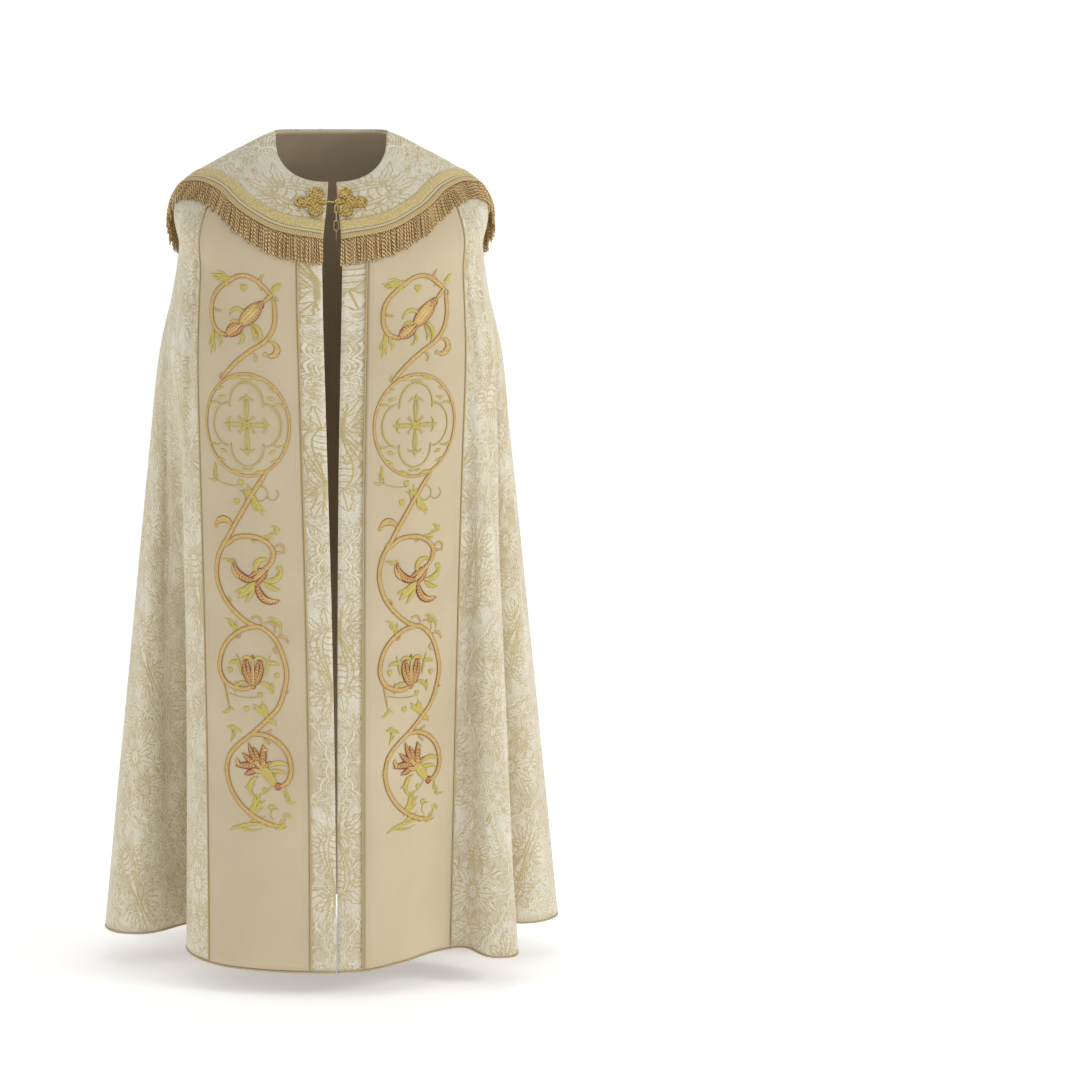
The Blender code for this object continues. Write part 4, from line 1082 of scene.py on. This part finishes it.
petals = [  # x, y, heading, length, bend, half width, look: the flower of each scroll
    # a long bud in its calyx
    (87, 74, -108, 40, -165, 3.2, green), (78, 88, -138, 22, -115, 2.9, green),
    (80, 104, 48, 24, 115, 2.7, green), (97, 88, 12, 42, 118, 3.3, green),
    (98, 91, 62, 22, 20, 2.7, green), (92, 78, -150, 18, 60, 2.4, green),
    (110, 104, 150, 16, -60, 2.4, green), (77, 89, -72, 54, 46, 3.4, bloom),
    (84, 94, -26, 54, -46, 3.4, bloom), (79, 89, -64, 50, 30, 5.2, cup),
    (83, 92, -34, 50, -30, 5.2, cup), (80, 91, -48, 50, 0, 4.6, cup),
    (54, 108, -64, 39, 52, 4.8, bloom), (56, 111, -10, 39, -52, 4.8, bloom),
    (54, 110, -37, 37, 0, 5.0, cup), (49, 113, -37, 12, 0, 4.4, bloom),
    (107, 62, -46, 19, 0, 7.6, bloom), (110, 59, -46, 11, 0, 4.2, cup),
    # an open bloom
    (94, 516, 138, 42, 0, 6.8, green), (90, 521, 152, 34, 14, 3.4, green),
    (93, 524, 118, 32, 10, 3.4, green), (99, 504, -136, 46, 175, 4.6, green),
    (106, 512, 26, 48, -125, 4.6, green), (110, 517, 48, 28, -50, 3.8, green),
    (94, 512, 166, 54, 108, 6.8, bloom), (98, 518, 102, 56, -128, 6.8, bloom),
    (72, 512, 196, 34, 80, 3.4, cup), (101, 534, 62, 36, -90, 3.4, cup),
    (110, 493, 156, 34, -14, 4.2, bloom), (114, 498, 124, 34, 14, 4.2, bloom),
    (112, 495, 140, 34, 0, 4.8, cup), (116, 490, 140, 10, 0, 4.6, cup),
    # a tulip of five petals
    (66, 670, -96, 36, -14, 2.2, green), (64, 650, -150, 22, -70, 2.8, green),
    (66, 646, -62, 30, 150, 2.8, green), (108, 670, -84, 36, 14, 2.2, green),
    (110, 650, -30, 22, 70, 2.8, green), (108, 646, -118, 30, -150, 2.8, green),
    (76, 682, -162, 32, -112, 3.0, green), (96, 682, -18, 32, 112, 3.0, green),
    (56, 680, 80, 16, 40, 2.2, green), (118, 680, 100, 16, -40, 2.2, green),
    (84, 687, -130, 48, 50, 4.6, bloom), (88, 687, -50, 48, -50, 4.6, bloom),
    (85, 687, -106, 48, 10, 4.4, bloom), (87, 687, -74, 48, -10, 4.4, bloom),
    (86, 688, -90, 52, 0, 3.4, cup), (82, 684, -120, 32, 24, 2.3, cup),
    (90, 684, -60, 32, -24, 2.3, cup), (74, 652, -98, 10, 0, 2.3, ball),
    (86, 645, -90, 10, 0, 2.3, ball), (98, 652, -82, 10, 0, 2.3, ball),
    (86, 692, -90, 11, 0, 4.4, bloom),
    # a carnation on its ball
    (93, 834, 172, 48, -155, 3.7, green), (86, 842, 120, 22, 60, 2.8, green),
    (108, 819, -50, 42, 92, 4.0, green), (111, 824, -12, 30, 40, 3.4, green),
    (90, 822, 152, 24, 10, 5.2, bloom), (89, 817, 186, 36, -16, 6.2, bloom),
    (89, 814, -152, 30, 20, 5.0, bloom), (91, 813, -124, 38, 22, 4.6, bloom),
    (94, 814, -98, 30, -20, 4.8, bloom), (98, 816, -74, 36, -24, 6.2, bloom),
    (100, 820, -46, 22, 30, 4.4, bloom), (62, 816, 200, 14, 90, 3.6, cup),
    (98, 794, -60, 14, 90, 3.6, cup), (121, 848, 224, 46, 10, 4.2, green),
    (123, 845, 238, 46, -10, 4.2, green), (121, 846, 231, 44, 0, 4.0, cup),
    (98, 826, 196, 17, 0, 4.2, cup), (102, 818, -92, 17, 0, 4.2, cup),
    (95, 818, 231, 15, 0, 4.0, cup), (119, 848, 0, 14, 0, 6.4, ball),
    (122, 847, 0, 6, 0, 2.4, cup),
]
tendrils = [  # x, y, heading, length, bend: fine lines
    (103, 358, -14, 62, 290), (118, 376, 60, 34, -200), (30, 350, 30, 44, -40),
    (70, 366, 10, 20, 90), (44, 700, 20, 50, -30), (100, 862, -30, 44, -60),
    (118, 902, 200, 30, 190),
]
hearts = [  # small leaves of two lobes: x, y, size
    (85, 28, 6.6), (73, 353, 6.0), (65, 384, 6.0), (134, 493, 5.2), (46, 662, 5.4),
    (126, 668, 5.2), (98, 700, 5.0), (74, 724, 5.2), (103, 855, 5.0), (114, 882, 5.6),
]
medallion = {
    "middle": (86, 257), "oval": (71.5, 84.5), "ring": 2.2, "line": 1.0,
    "foils": [(0, -34, 29, 36, 172, 368), (29, 0, 29, 36, -82, 82), (0, 36, 28, 33, -8, 188),
              (-29, 0, 29, 36, 98, 262)],
    "leaves": [(66, 30, 130, 24, 90, 1.6), (48, 44, 190, 13, -50, 2.6), (54, 58, 178, 16, -20, 2.4),
               (28, 77, 176, 20, -14, 2.8), (10, 73, 150, 12, 60, 1.8)],
}


def circlePoints(x, y, across, down, start=0.0, stop=360.0, count=60):
    angles = np.radians(np.linspace(start, stop, count))
    return np.stack([x + across * np.cos(angles), y + down * np.sin(angles)], -1)


def orphreyPlace(side):
    # from a flat place in metres, across from the left of the band and down, to the laid cloth
    _, laid, normals, flat = orphreys[side]
    rows, columns = laid.shape[:2]
    lengths = flat[:, columns // 2, 1]
    top = float(np.interp(-stitching["top"], -laid[:, columns // 2, 2], lengths))

    def place(points):
        column = (1 - points[..., 0] / cloth["orphrey"]) * (columns - 1)
        row = np.interp(top + points[..., 1], lengths, np.arange(rows))
        column, row = np.clip(column, 0, columns - 1.001), np.clip(row, 0, rows - 1.001)
        i, j = row.astype(int), column.astype(int)
        a, b = (row - i)[..., None], (column - j)[..., None]

        def between(grid):
            return ((grid[i, j] * (1 - b) + grid[i, j + 1] * b) * (1 - a)
                    + (grid[i + 1, j] * (1 - b) + grid[i + 1, j + 1] * b) * a)
        return between(laid), between(normals)
    return place


def sewer(place, parts, height, lift, turnOver=False):
    # gives a function that lays a shape drawn in millimetres and adds it to the parts
    def lay(route, width, look=0, leaf=True, blunt=0.6, rise=0.0, across=5):
        route = np.asarray(route, float) * stitching["unit"]
        widths = width * stitching["unit"]
        if leaf and np.ndim(width) == 0:
            widths = leafWidths(len(route), widths, blunt)
        parts.append((stitched(place, route, widths, height, lift + rise, across, turnOver), look))
    return lay


def layMedallion(lay):
    # an oval ring, a quatrefoil of fine lines, small leaves between them, a plain cross inside
    x, y = medallion["middle"]
    lay(circlePoints(x, y, *medallion["oval"], 250, 610, 80), medallion["ring"], gold, leaf=False)
    for dx, dy, *foil in medallion["foils"]:
        lay(circlePoints(x + dx, y + dy, *foil, 26), medallion["line"], thin, leaf=False)
    for left in (-1, 1):
        for up in (-1, 1):
            for dx, dy, heading, length, bend, width in medallion["leaves"]:
                turned = heading if left > 0 else 180 - heading
                lay(curled(x + left * dx, y + up * dy, up * turned, length, bend * left * up),
                    width, green)
    for turn in range(4):  # the cross: four flared arms, small leaves and a tip of three petals
        heading, out = 90 * turn, 44 if turn % 2 else 32
        for apart in (-1, 1):
            lay(curled(x, y, heading + 7 * apart, out, -10 * apart), 2.4, thin, blunt=1.6)
        for angle, bend in ((32, 40), (58, -40)):
            lay(curled(x, y, heading + angle, 20, bend), 2.0, green)
        tip = spoke(x, y, out - 2, math.radians(heading))
        lay(curled(*tip, heading, 10, 0), 2.2, green)
        for bend in (-1, 1):
            lay(curled(*tip, heading + 50 * bend, 15, 110 * bend), 1.7, thin)


def makeEmbroidery(side, looks):
    parts, stem, end = [], stitching["stem"], stitching["stemEnd"]
    lay = sewer(orphreyPlace(side), parts, stitching["relief"], stitching["lift"], turnOver=True)
    layMedallion(lay)
    for number, knots in enumerate(scrolls):
        count = 8 * len(knots)
        widths = np.full(count, stem)
        widths[:6], widths[-6:] = np.linspace(end, stem, 6), np.linspace(stem, end, 6)
        lay(spline(knots, count), widths, gold, rise=0.0001 * number)
    for x, y, heading, length, bend, width, look in sprigs:
        route = curled(x, y, heading, length, bend, 9 + abs(bend) // 16)
        lay(route, width, look, blunt=0.6 if look == green else 1.2, rise=-0.0002)
        if look == gold:  # a rounded end
            dot = 1.1 + 0.45 * width
            lay(curled(*(route[-1] - (dot, 0)), 0, 2 * dot, 0, 7), dot, gold, blunt=1.0,
                rise=-0.0001)
        elif length > 18:  # a lobe on each side
            for at, way, share in ((2, 1, 0.50), (4, -1, 0.42)):
                lobe = curled(*route[at], heading + bend * at / 8 + 42 * way, share * length,
                              -50 * way)
                lay(lobe, 0.62 * width, green, rise=-0.0003)
    for number, (*line, width, look) in enumerate(petals):
        lay(curled(*line), width, look, blunt=0.8, rise=0.0002 + 0.00006 * (number % 5))
    for x, y, size in hearts:
        for way in (-1, 1):
            lobe = curled(x + 0.55 * size * way, y - 0.75 * size, 90 + 22 * way, size * 1.9, 0, 8)
            lay(lobe, size * 0.58, green, rise=0.00006 * way)
    for line in tendrils:
        lay(curled(*line, 17), stitching["tendril"], thin, leaf=False, rise=-0.0003)
    stitchedPiece("embroidery" + sideNames[side], parts, looks)


stitchLooks = [  # dark, light, edge
    satin("gold stem stitch", (0.62, 0.41, 0.12), (0.90, 0.66, 0.27), (0.50, 0.20, 0.055), 0.76),
    satin("leaf stitch", (0.60, 0.48, 0.09), (0.92, 0.78, 0.24), (0.56, 0.39, 0.07), 0.84,
          slant=0.6, rib=0.04),
    satin("flower stitch", (0.62, 0.35, 0.11), (0.84, 0.57, 0.24), (0.36, 0.09, 0.03), 0.64,
          slant=0.4, veins=190.0),
    satin("red stitch", (0.52, 0.15, 0.06), (0.76, 0.30, 0.14), (0.26, 0.05, 0.02), 0.78),
    satin("fine line stitch", (0.58, 0.46, 0.13), (0.80, 0.66, 0.24), (0.52, 0.40, 0.10), 0.95),
    satin("gold petal stitch", (0.76, 0.52, 0.16), (0.98, 0.76, 0.32), (0.38, 0.10, 0.03), 0.70,
          slant=0.5, rib=0.05),
]
for side in sideNames:
    makeEmbroidery(side, stitchLooks)
print("orphreys embroidered")


# The applique cross on the hood's back

crossSize = {
    "middleZ": -0.167, "square": 0.0415, "root": 0.0255, "cusp": (0.0765, 0.0462),
    "neck": (0.0912, 0.0200), "lobeMiddle": 0.0975, "lobeRadius": 0.0212, "flareDip": 0.0062,
    "cuspDip": 0.0021, "cuspInset": (0.37, 1.38), "neckInset": (0.48, 1.20), "border": 0.0074,
    "lift": 0.0006, "velvetWall": 0.0015, "borderWall": 0.0012, "borderCrown": 0.0013,
    "cord": 0.00075, "satin": 0.0010, "crystal": 0.0026, "crystalOut": 0.089, "reach": 0.126,
    "cuts": 0.009,
}


def bow(start, end, dip, count):
    # points from start to end on a shallow curve
    start, end = np.array(start), np.array(end)
    across = unit(np.array([start[1] - end[1], end[0] - start[0]]))
    shares = np.linspace(0, 1, count + 1)[1:]
    return [start + (end - start) * t + across * dip * 4 * t * (1 - t) for t in shares]


def crossOutline(inset):
    # the arm that points right, turned four times; evenly many points at every inset
    flip = np.array([1, -1])
    square, root = crossSize["square"] - inset, crossSize["root"] - inset
    cusp, neck = (np.array(crossSize[name]) - inset * np.array(crossSize[name + "Inset"])
                  for name in ("cusp", "neck"))
    inner = np.array([square, -square])
    lower = [inner] + bow(inner, (square, -root), 0.0, 5)
    lower += bow((square, -root), cusp * flip, crossSize["flareDip"], 14)
    lower += bow(cusp * flip, neck * flip, crossSize["cuspDip"], 8)
    turn = math.atan2(neck[1], neck[0] - crossSize["lobeMiddle"])
    lobe = [np.array(spoke(crossSize["lobeMiddle"], 0, crossSize["lobeRadius"] - inset, angle))
            for angle in np.linspace(-turn, turn, 34)[1:-1]]
    arm = lower + lobe + [point * flip for point in lower[:0:-1]]
    outline = []
    for c, s in ((1, 0), (0, 1), (-1, 0), (0, -1)):
        outline += [np.array([c * x - s * y, s * x + c * y]) for x, y in arm]
    return np.array(outline)


def hoodBackPlace(points):
    # from the cross's own plane to the hood's back
    places, normals = (np.empty(points.shape[:-1] + (3,)) for _ in range(2))
    for index in np.ndindex(points.shape[:-1]):
        x, z = points[index]
        places[index], normal, _, _ = hoodTree.ray_cast(
            Vector((x, 1.0, z + crossSize["middleZ"])), Vector((0, -1, 0)))
        normals[index] = normal * (1 if normal.y > 0 else -1)
    return places, normals


def velvetLook():
    paint = Paint("maroon velvet")
    pile, brushed = paint.noise(paint.place(), 2600.0, 2.0), paint.noise(paint.place(), 60.0, 3.0)
    shade = pile * 0.5 + brushed * 0.6
    return paint.finish(
        Base_Color=paint.mix(shade.step(0.3, 0.8), (0.030, 0.004, 0.010), (0.085, 0.012, 0.026)),
        Roughness=0.85, Sheen_Weight=0.35, Sheen_Roughness=0.35, Sheen_Tint=(0.75, 0.25, 0.35, 1.0),
        Normal=paint.bump(shade, 0.0006, 0.5))


def borderLook():
    # gold satin worked square to the edge, over a row of longer stitches
    paint = Paint("gold satin border")
    along, across = paint.flat()
    share = across / crossSize["border"]
    threads = (along * 2 * math.pi * 1900).sin()
    ticks = (along * 620.0).cell().line(0.16, 0.12) * (share - 0.42).line(0.20, 0.06)
    tone = paint.noise(paint.point(along * 500.0, across * 60.0), 1.0, 1.0)
    colour = paint.mix((tone + threads * 0.15).step(0.2, 0.9), (0.50, 0.36, 0.09),
                       (0.82, 0.66, 0.24))
    colour = paint.mix(ticks * 0.55, colour, (0.30, 0.20, 0.04))
    height = threads * 0.35 + tone * 0.4 - ticks * 0.7
    return paint.finish(Base_Color=colour, Roughness=0.38, Metallic=0.25,
                        Normal=paint.bump(height, 0.0003, 0.8))


def crystalLook():
    paint = Paint("clear crystal")
    # painted reflection: clear crystal is coloured near-white, and this noise's lighter and darker
    # patches stand in for the glints of its facets
    facetReflections = paint.noise(paint.place(), 900.0, 1.0)
    return paint.finish(
        Base_Color=paint.mix(facetReflections.step(0.4, 0.6), (0.72, 0.76, 0.80), (0.98, 0.98, 1.0)),
        Roughness=0.06, Metallic=0.35, Coat_Weight=0.8, Coat_Roughness=0.03)


def makeBorder(rows=9):
    insets = np.linspace(0, crossSize["border"], rows)
    loops = np.stack([crossOutline(inset) for inset in insets])
    loops = np.concatenate([loops, loops[:, :1]], axis=1)
    points, normals = hoodBackPlace(loops)
    crown = np.sin(np.pi * np.linspace(0.06, 0.94, rows)) ** 0.6
    height = crossSize["lift"] + crossSize["borderWall"] + crossSize["borderCrown"] * crown
    points = points + normals * height[:, None, None]
    flat = flatGrid(points, lengthsAlong(loops[rows // 2]), insets[:, None])
    keep("crossBorder", gridMesh("crossBorder", points[::-1], flat[::-1]), borderLook(),
         ["cross_border"], crossSize["borderWall"])


def makeVelvet():
    # the field inside the border, cut fine enough to follow the hood
    bm = bmesh.new()
    face = bm.faces.new([bm.verts.new((x, 0.0, z))
                         for x, z in crossOutline(crossSize["border"] + 0.0002)])
    face.normal_update()
    bmesh.ops.triangulate(bm, faces=[face])
    reach, cuts = crossSize["reach"], crossSize["cuts"]
    for axis in (Vector((1, 0, 0)), Vector((0, 0, 1))):
        for step in np.arange(-reach, reach + 0.001, cuts):
            bmesh.ops.bisect_plane(bm, geom=list(bm.verts) + list(bm.edges) + list(bm.faces),
                                   dist=1e-6, plane_co=axis * float(step), plane_no=axis)
    bmesh.ops.triangulate(bm, faces=bm.faces)
    places, normals = hoodBackPlace(np.array([(vert.co.x, vert.co.z) for vert in bm.verts]))
    for vert, place, normal in zip(bm.verts, places, normals):
        vert.co = place + normal * (crossSize["lift"] + crossSize["velvetWall"])
    bm.normal_update()
    if sum(face.normal.y for face in bm.faces) < 0:
        bmesh.ops.reverse_faces(bm, faces=bm.faces)
    mesh = meshOf("crossVelvet", bm)
    mesh.shade_smooth()
    keep("crossVelvet", mesh, velvetLook(), ["cross_velvet"], crossSize["velvetWall"])


def makeCrossCord():
    # a thin dark red cord round the edge
    radius = crossSize["cord"]
    places, normals = hoodBackPlace(crossOutline(-radius))
    look = twisted("dark red cord", (0.07, 0.010, 0.012), (0.22, 0.035, 0.035), 500.0, 2, 0.6, 0.0)
    cordPiece("crossCord", places + normals * (crossSize["lift"] + radius), radius, look,
              [], around=6, closed=True)


def crossArm():
    # the stitches of the arm that points right: route, half width, look and options
    full, vein, slit = range(3)
    arm = []

    def add(route, width, look=full, **options):
        arm.append((np.array(route, float), width, look, options))

    shares = np.linspace(0, 1, 15)
    scalloped = 7.4 * np.sin(np.pi * shares**0.75) ** 0.9 * (1 + 0.13 * np.sin(16 * shares)) + 0.35
    rounded = 7.4 * np.sqrt(np.clip(1 - (shares * 1.9 - 0.95) ** 2, 0.02, 1))
    add([spoke(0, 0, 2 + 44 * share, math.pi / 4) for share in shares], scalloped, vein, across=9,
        rise=0.0003)
    add([(3 + 19.5 * share, 0) for share in shares], rounded, across=7, rise=0.0009)
    add([(5, 0), (10, 0), (15.5, 0)], 1.2, slit, rise=0.0019, across=3)
    add([(20, 0), (48, 0), (84, 0)], 0.75, leaf=False)
    add(curled(94, 0, 180, 6, 0), 1.6)
    stem = spline([(20, 3.0), (36, 3.4), (46, 5.0), (58, 11.5), (70, 17.0), (79, 18.2),
                   (85, 15.5)], 22)
    for mirror in (-1, 1):
        add(stem * (1, mirror), np.interp(np.arange(22), (0, 10, 21), (0.7, 1.0, 1.5)))
        add(curled(84.5, 16.6, -60, 7.5, -30) * (1, mirror), 2.5, rise=0.0002)
        add(spline([(22, 5.0), (34, 7.6), (44, 9.4), (50, 11.8)], 10) * (1, mirror), 2.5)
        add(spline([(54, 0.8), (60, 2.6), (66, 5.0), (72, 8.4)], 9) * (1, mirror), 1.8, blunt=0.9)
    add(curled(52, 0, 0, 15, 0), 4.2, blunt=0.9, rise=0.0002)
    for angle, length in ((0, 13.0), (72, 11.5), (144, 10.5), (216, 10.5), (288, 11.5)):
        add(curled(*spoke(89, 0, 2.2, math.radians(angle)), angle, length, 0), 1.9, blunt=0.75)
    return arm


def makeCrossSatin():
    parts, top = [], crossSize["lift"] + crossSize["velvetWall"]
    lay = sewer(hoodBackPlace, parts, crossSize["satin"], top)
    for quarter in range(4):
        c, s = math.cos(math.pi / 2 * quarter), math.sin(math.pi / 2 * quarter)
        for route, width, look, options in crossArm():
            lay(route @ np.array([[c, s], [-s, c]]), width, look, **options)
    yellow = ((0.52, 0.37, 0.09), (0.84, 0.68, 0.26))
    maroon = ((0.10, 0.02, 0.02), (0.16, 0.04, 0.03))
    looks = [satin("gold satin stitch", *yellow, (0.40, 0.27, 0.06), 0.93),
             satin("veined satin stitch", *yellow, (0.17, 0.08, 0.02), 0.97, slant=0.9, rib=0.05),
             satin("dark slit stitch", *maroon, maroon[0], 0.9)]
    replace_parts(stitchedPiece("crossSatin", parts, looks), "cross_rosette")

    # faceted crystals in the middle and in each arm's flower
    bm = bmesh.new()
    out = crossSize["crystalOut"]
    spots = np.array([(0, 0), (out, 0), (-out, 0), (0, out), (0, -out)])
    for number, (place, normal) in enumerate(zip(*hoodBackPlace(spots))):
        size = crossSize["crystal"] * (1.25 if number == 0 else 1.0)
        rise = top + (0.0021 if number == 0 else 0.0008)
        turn = Vector(normal).to_track_quat("Z", "Y").to_matrix().to_4x4()
        matrix = (Matrix.Translation(Vector(place) + Vector(normal) * rise) @ turn
                  @ Matrix.Diagonal((size, size, size * 0.75, 1)))
        bmesh.ops.create_icosphere(bm, subdivisions=2, radius=1.0, matrix=matrix)
    keep("crystals", meshOf("crystals", bm), crystalLook())


makeBorder()
makeVelvet()
makeCrossCord()
makeCrossSatin()
print("cross made")


# The gilt clasp and its chain

clasp = {
    "x": 0.0325, "z": -0.1335, "tab": 0.0212, "tabRadius": 0.0052, "wall": 0.0026, "lift": 0.0005,
    "wire": 0.00042, "grain": 0.00066, "hook": 0.0011, "sag": (0.0, -0.0004, -0.0007),
    "eye": (0.0088, -0.1428, -0.1512), "eyeWire": 0.0009, "eyeWidth": 0.0064, "eyeHeight": 0.0154,
    "linkWire": 0.0008, "linkLength": 0.0186, "linkWidth": 0.0092, "play": 0.0004,
    "lobes": [(66, 0.0196, 0.0124), (180, 0.0172, 0.0118), (294, 0.0196, 0.0124)],
    "ring": 0.80, "rim": 0.94, "rimGrains": 14, "scrolls": 3, "scrollOut": 0.40,
    "scrollReach": 0.34, "scrollTurns": 1.8, "scrollRise": 0.0009, "bossRing": 0.0062,
    "bossOut": 0.0046, "bossGrains": 10, "boss": 3.2, "sunk": 0.0006, "proud": 0.0002,
}


def giltLook(name, dark, light, roughness):
    paint = Paint(name)
    # painted light: this noise's light and dark patches in the colour, and the pale glints, are
    # painted highlight and shade that make the gilt sparkle; the noise is also the bump
    sparkleNoise = paint.noise(paint.place(), 420.0, 2.0)
    fine = paint.noise(paint.place(), 1800.0, 2.0)
    glint = (sparkleNoise * 0.5 + fine * 0.5).step(0.56, 0.64)
    colour = paint.mix((sparkleNoise * 0.7 + fine * 0.3).step(0.38, 0.60), dark, light)
    return paint.finish(
        Base_Color=paint.mix(glint * 0.8, colour, (1.0, 0.95, 0.70)),
        Roughness=fine * 0.15 + roughness, Metallic=0.55, Normal=paint.bump(sparkleNoise, 0.0009, 1.0))


def addGrains(mesh, places):
    # small rounded grains on a mesh of wires
    bm = opened(mesh)
    for matrix in places:
        bmesh.ops.create_icosphere(bm, subdivisions=1, radius=1.0, matrix=matrix)
    bm.to_mesh(mesh)
    bm.free()
    mesh.shade_smooth()
    return mesh


def claspFrame(side):
    # x towards the opening, z off the cloth
    place, normal, _, _ = hoodTree.ray_cast(Vector((side * clasp["x"], -1.0, clasp["z"])),
                                            Vector((0, 1, 0)))
    normal = normal if normal.y < 0 else -normal
    right = Vector((0, 0, 1)).cross(normal).normalized()
    made = Matrix((right, normal.cross(right), normal)).transposed().to_4x4()
    made.translation = place + normal * clasp["lift"]
    return made @ Matrix.Rotation(0.0 if side < 0 else math.pi, 4, "Z")


def makeFiligree(side, placed, look):
    low, high = clasp["wall"] - clasp["sunk"], clasp["wall"] + clasp["proud"]
    fine, wires, grains = clasp["wire"], [], []

    def wire(points, radius, closed=False):
        route = np.array([list(placed @ Vector(point)) for point in points])
        wires.append(tubeGrid(route, radius, 6, closed))

    def ring(x, y, reach, radius, count=28):
        angles = np.linspace(0, 2 * np.pi, count, endpoint=False)
        wire([(*spoke(x, y, reach, angle), high) for angle in angles], radius, True)

    def grain(x, y, size=1.0):
        grains.append(placed @ Matrix.Translation((x, y, high))
                      @ Matrix.Scale(clasp["grain"] * size, 4))

    for turn, out, radius in clasp["lobes"]:
        a = math.radians(turn)
        x, y = spoke(0, 0, out, a)
        ring(x, y, radius * clasp["ring"], fine * 1.4)
        for number in range(clasp["rimGrains"]):
            turn = 2 * math.pi * number / clasp["rimGrains"]
            grain(*spoke(x, y, radius * clasp["rim"], turn))
        for number in range(clasp["scrolls"]):  # a wire that winds inwards and rises
            b = a + 2 * math.pi * (number + 0.5) / clasp["scrolls"]
            middle = spoke(x, y, radius * clasp["scrollOut"], b)
            wire([(*spoke(*middle, radius * (clasp["scrollReach"] - 0.27 * share),
                          b + 0.6 * math.pi + share * 2 * clasp["scrollTurns"] * math.pi),
                   low + clasp["scrollRise"] * share) for share in np.linspace(0, 1, 34)],
                 fine * (1.25 - 0.1 * number))
            grain(*middle, 1.1)
            grain(*spoke(x, y, radius * 0.62, b + 1.05))
    # the middle: a ring, grains and a boss; then a looped tab towards the other half
    ring(0, 0, clasp["bossRing"], fine * 1.4)
    for number in range(clasp["bossGrains"]):
        grain(*spoke(0, 0, clasp["bossOut"], 2 * math.pi * number / clasp["bossGrains"]))
    grain(0, 0, clasp["boss"])
    for number in range(5):
        grain(0.0085 + 0.0020 * number, 0.0016 * math.sin(number * 2.4), 1.1)
        grain(-0.0078, 0.0016 * (number - 2))
    ring(clasp["tab"], 0, clasp["tabRadius"] * 0.72, fine * 2.0)
    name = "filigree" + sideNames[side]
    keep(name, addGrains(closeSeams(gridsMesh(name, wires)), grains), look)


def oblong(middle, length, width, wire, across, count=14):
    # the centre line of an oblong link; across is the way its width lies
    half, radius = (length - width) / 2, width / 2 - wire
    across, up, route = Vector(across), Vector((0, 0, 1)), []
    for end, start in ((1, 0), (-1, 180)):
        for angle in np.radians(np.linspace(start, start + 180, count)):
            x, y = spoke(0, 0, radius, angle)
            route.append(list(Vector(middle) + (across * x + up * (y + end * half))))
        last = Vector(route[-1])
        route += [list(last - up * (2 * half * share * end)) for share in (0.25, 0.5, 0.75)]
    return route


def makeClasp():
    bright = giltLook("gilt wire", (0.74, 0.46, 0.09), (1.0, 0.84, 0.34), 0.20)
    # the plate's gilt is a much darker copy of the wire's: painted shade where it shows between the
    # wires
    shadedPlateLook = giltLook("gilt plate", (0.13, 0.07, 0.015), (0.80, 0.56, 0.15), 0.26)
    for name in ("clasp_left", "clasp_right"):
        nodes[name].data.materials.clear()
        nodes[name].data.materials.append(shadedPlateLook)
    tabs = []
    for side in sideNames:
        placed = claspFrame(side)
        makeFiligree(side, placed, bright)
        reach = clasp["tab"] + clasp["tabRadius"] + 2 * cloth["gap"]
        tabs.append(placed @ Vector((reach, 0.0, clasp["wall"] / 2)))
    sag = Vector(clasp["sag"])
    knots = [tabs[0], tabs[0].lerp(tabs[1], 0.3) - sag, tabs[0].lerp(tabs[1], 0.7) + sag, tabs[1]]
    route = spline([list(knot) for knot in knots], 24)
    radii = clasp["hook"] * (1 + 0.25 * np.cos(np.linspace(0, 2 * np.pi, 24)))
    cordPiece("hook", route, radii, bright, ["clasp_hook"], around=12)
    return bright


def makeChain(bright):
    x, y, bar = clasp["eye"]
    eyeWire, wire, play = clasp["eyeWire"], clasp["linkWire"], clasp["play"]
    height, length = clasp["eyeHeight"], clasp["linkLength"]
    middle = (x, y, bar + height / 2 - eyeWire)
    route = oblong(middle, height, clasp["eyeWidth"], eyeWire, (1, 0, 0))
    cordPiece("eye", route, eyeWire, bright, ["clasp_eye"], around=10, closed=True)
    # painted light: the chain's gilt is a lighter copy of the clasp's, brightened against the shade
    # of the opening behind it
    lightenedChainLook = giltLook("chain gilt", (0.86, 0.62, 0.24), (1.0, 0.90, 0.52), 0.25)
    top = bar + eyeWire + wire + play
    for number in range(3):  # every other link lies across
        middle = (x, y, top - (length / 2 - wire) - number * (length - 4 * wire - play))
        route = oblong(middle, length, clasp["linkWidth"], wire, (number % 2, 1 - number % 2, 0))
        cordPiece(f"link{number + 1}", route, wire, lightenedChainLook, [f"chain_link_{number + 1}"],
                  around=10, closed=True, body="chain")


makeChain(makeClasp())
print("clasp and chain made")


def stateCloth():
    # the flat cuts; the hood's and the cope's aren't rectangles
    for made in (cope, hood, orphreys[-1][0], orphreys[1][0]):
        area = sum(face.area for face in made.data.polygons)
        print(made.name, "is", round(area, 3), "square metres as it hangs")


stateCloth()
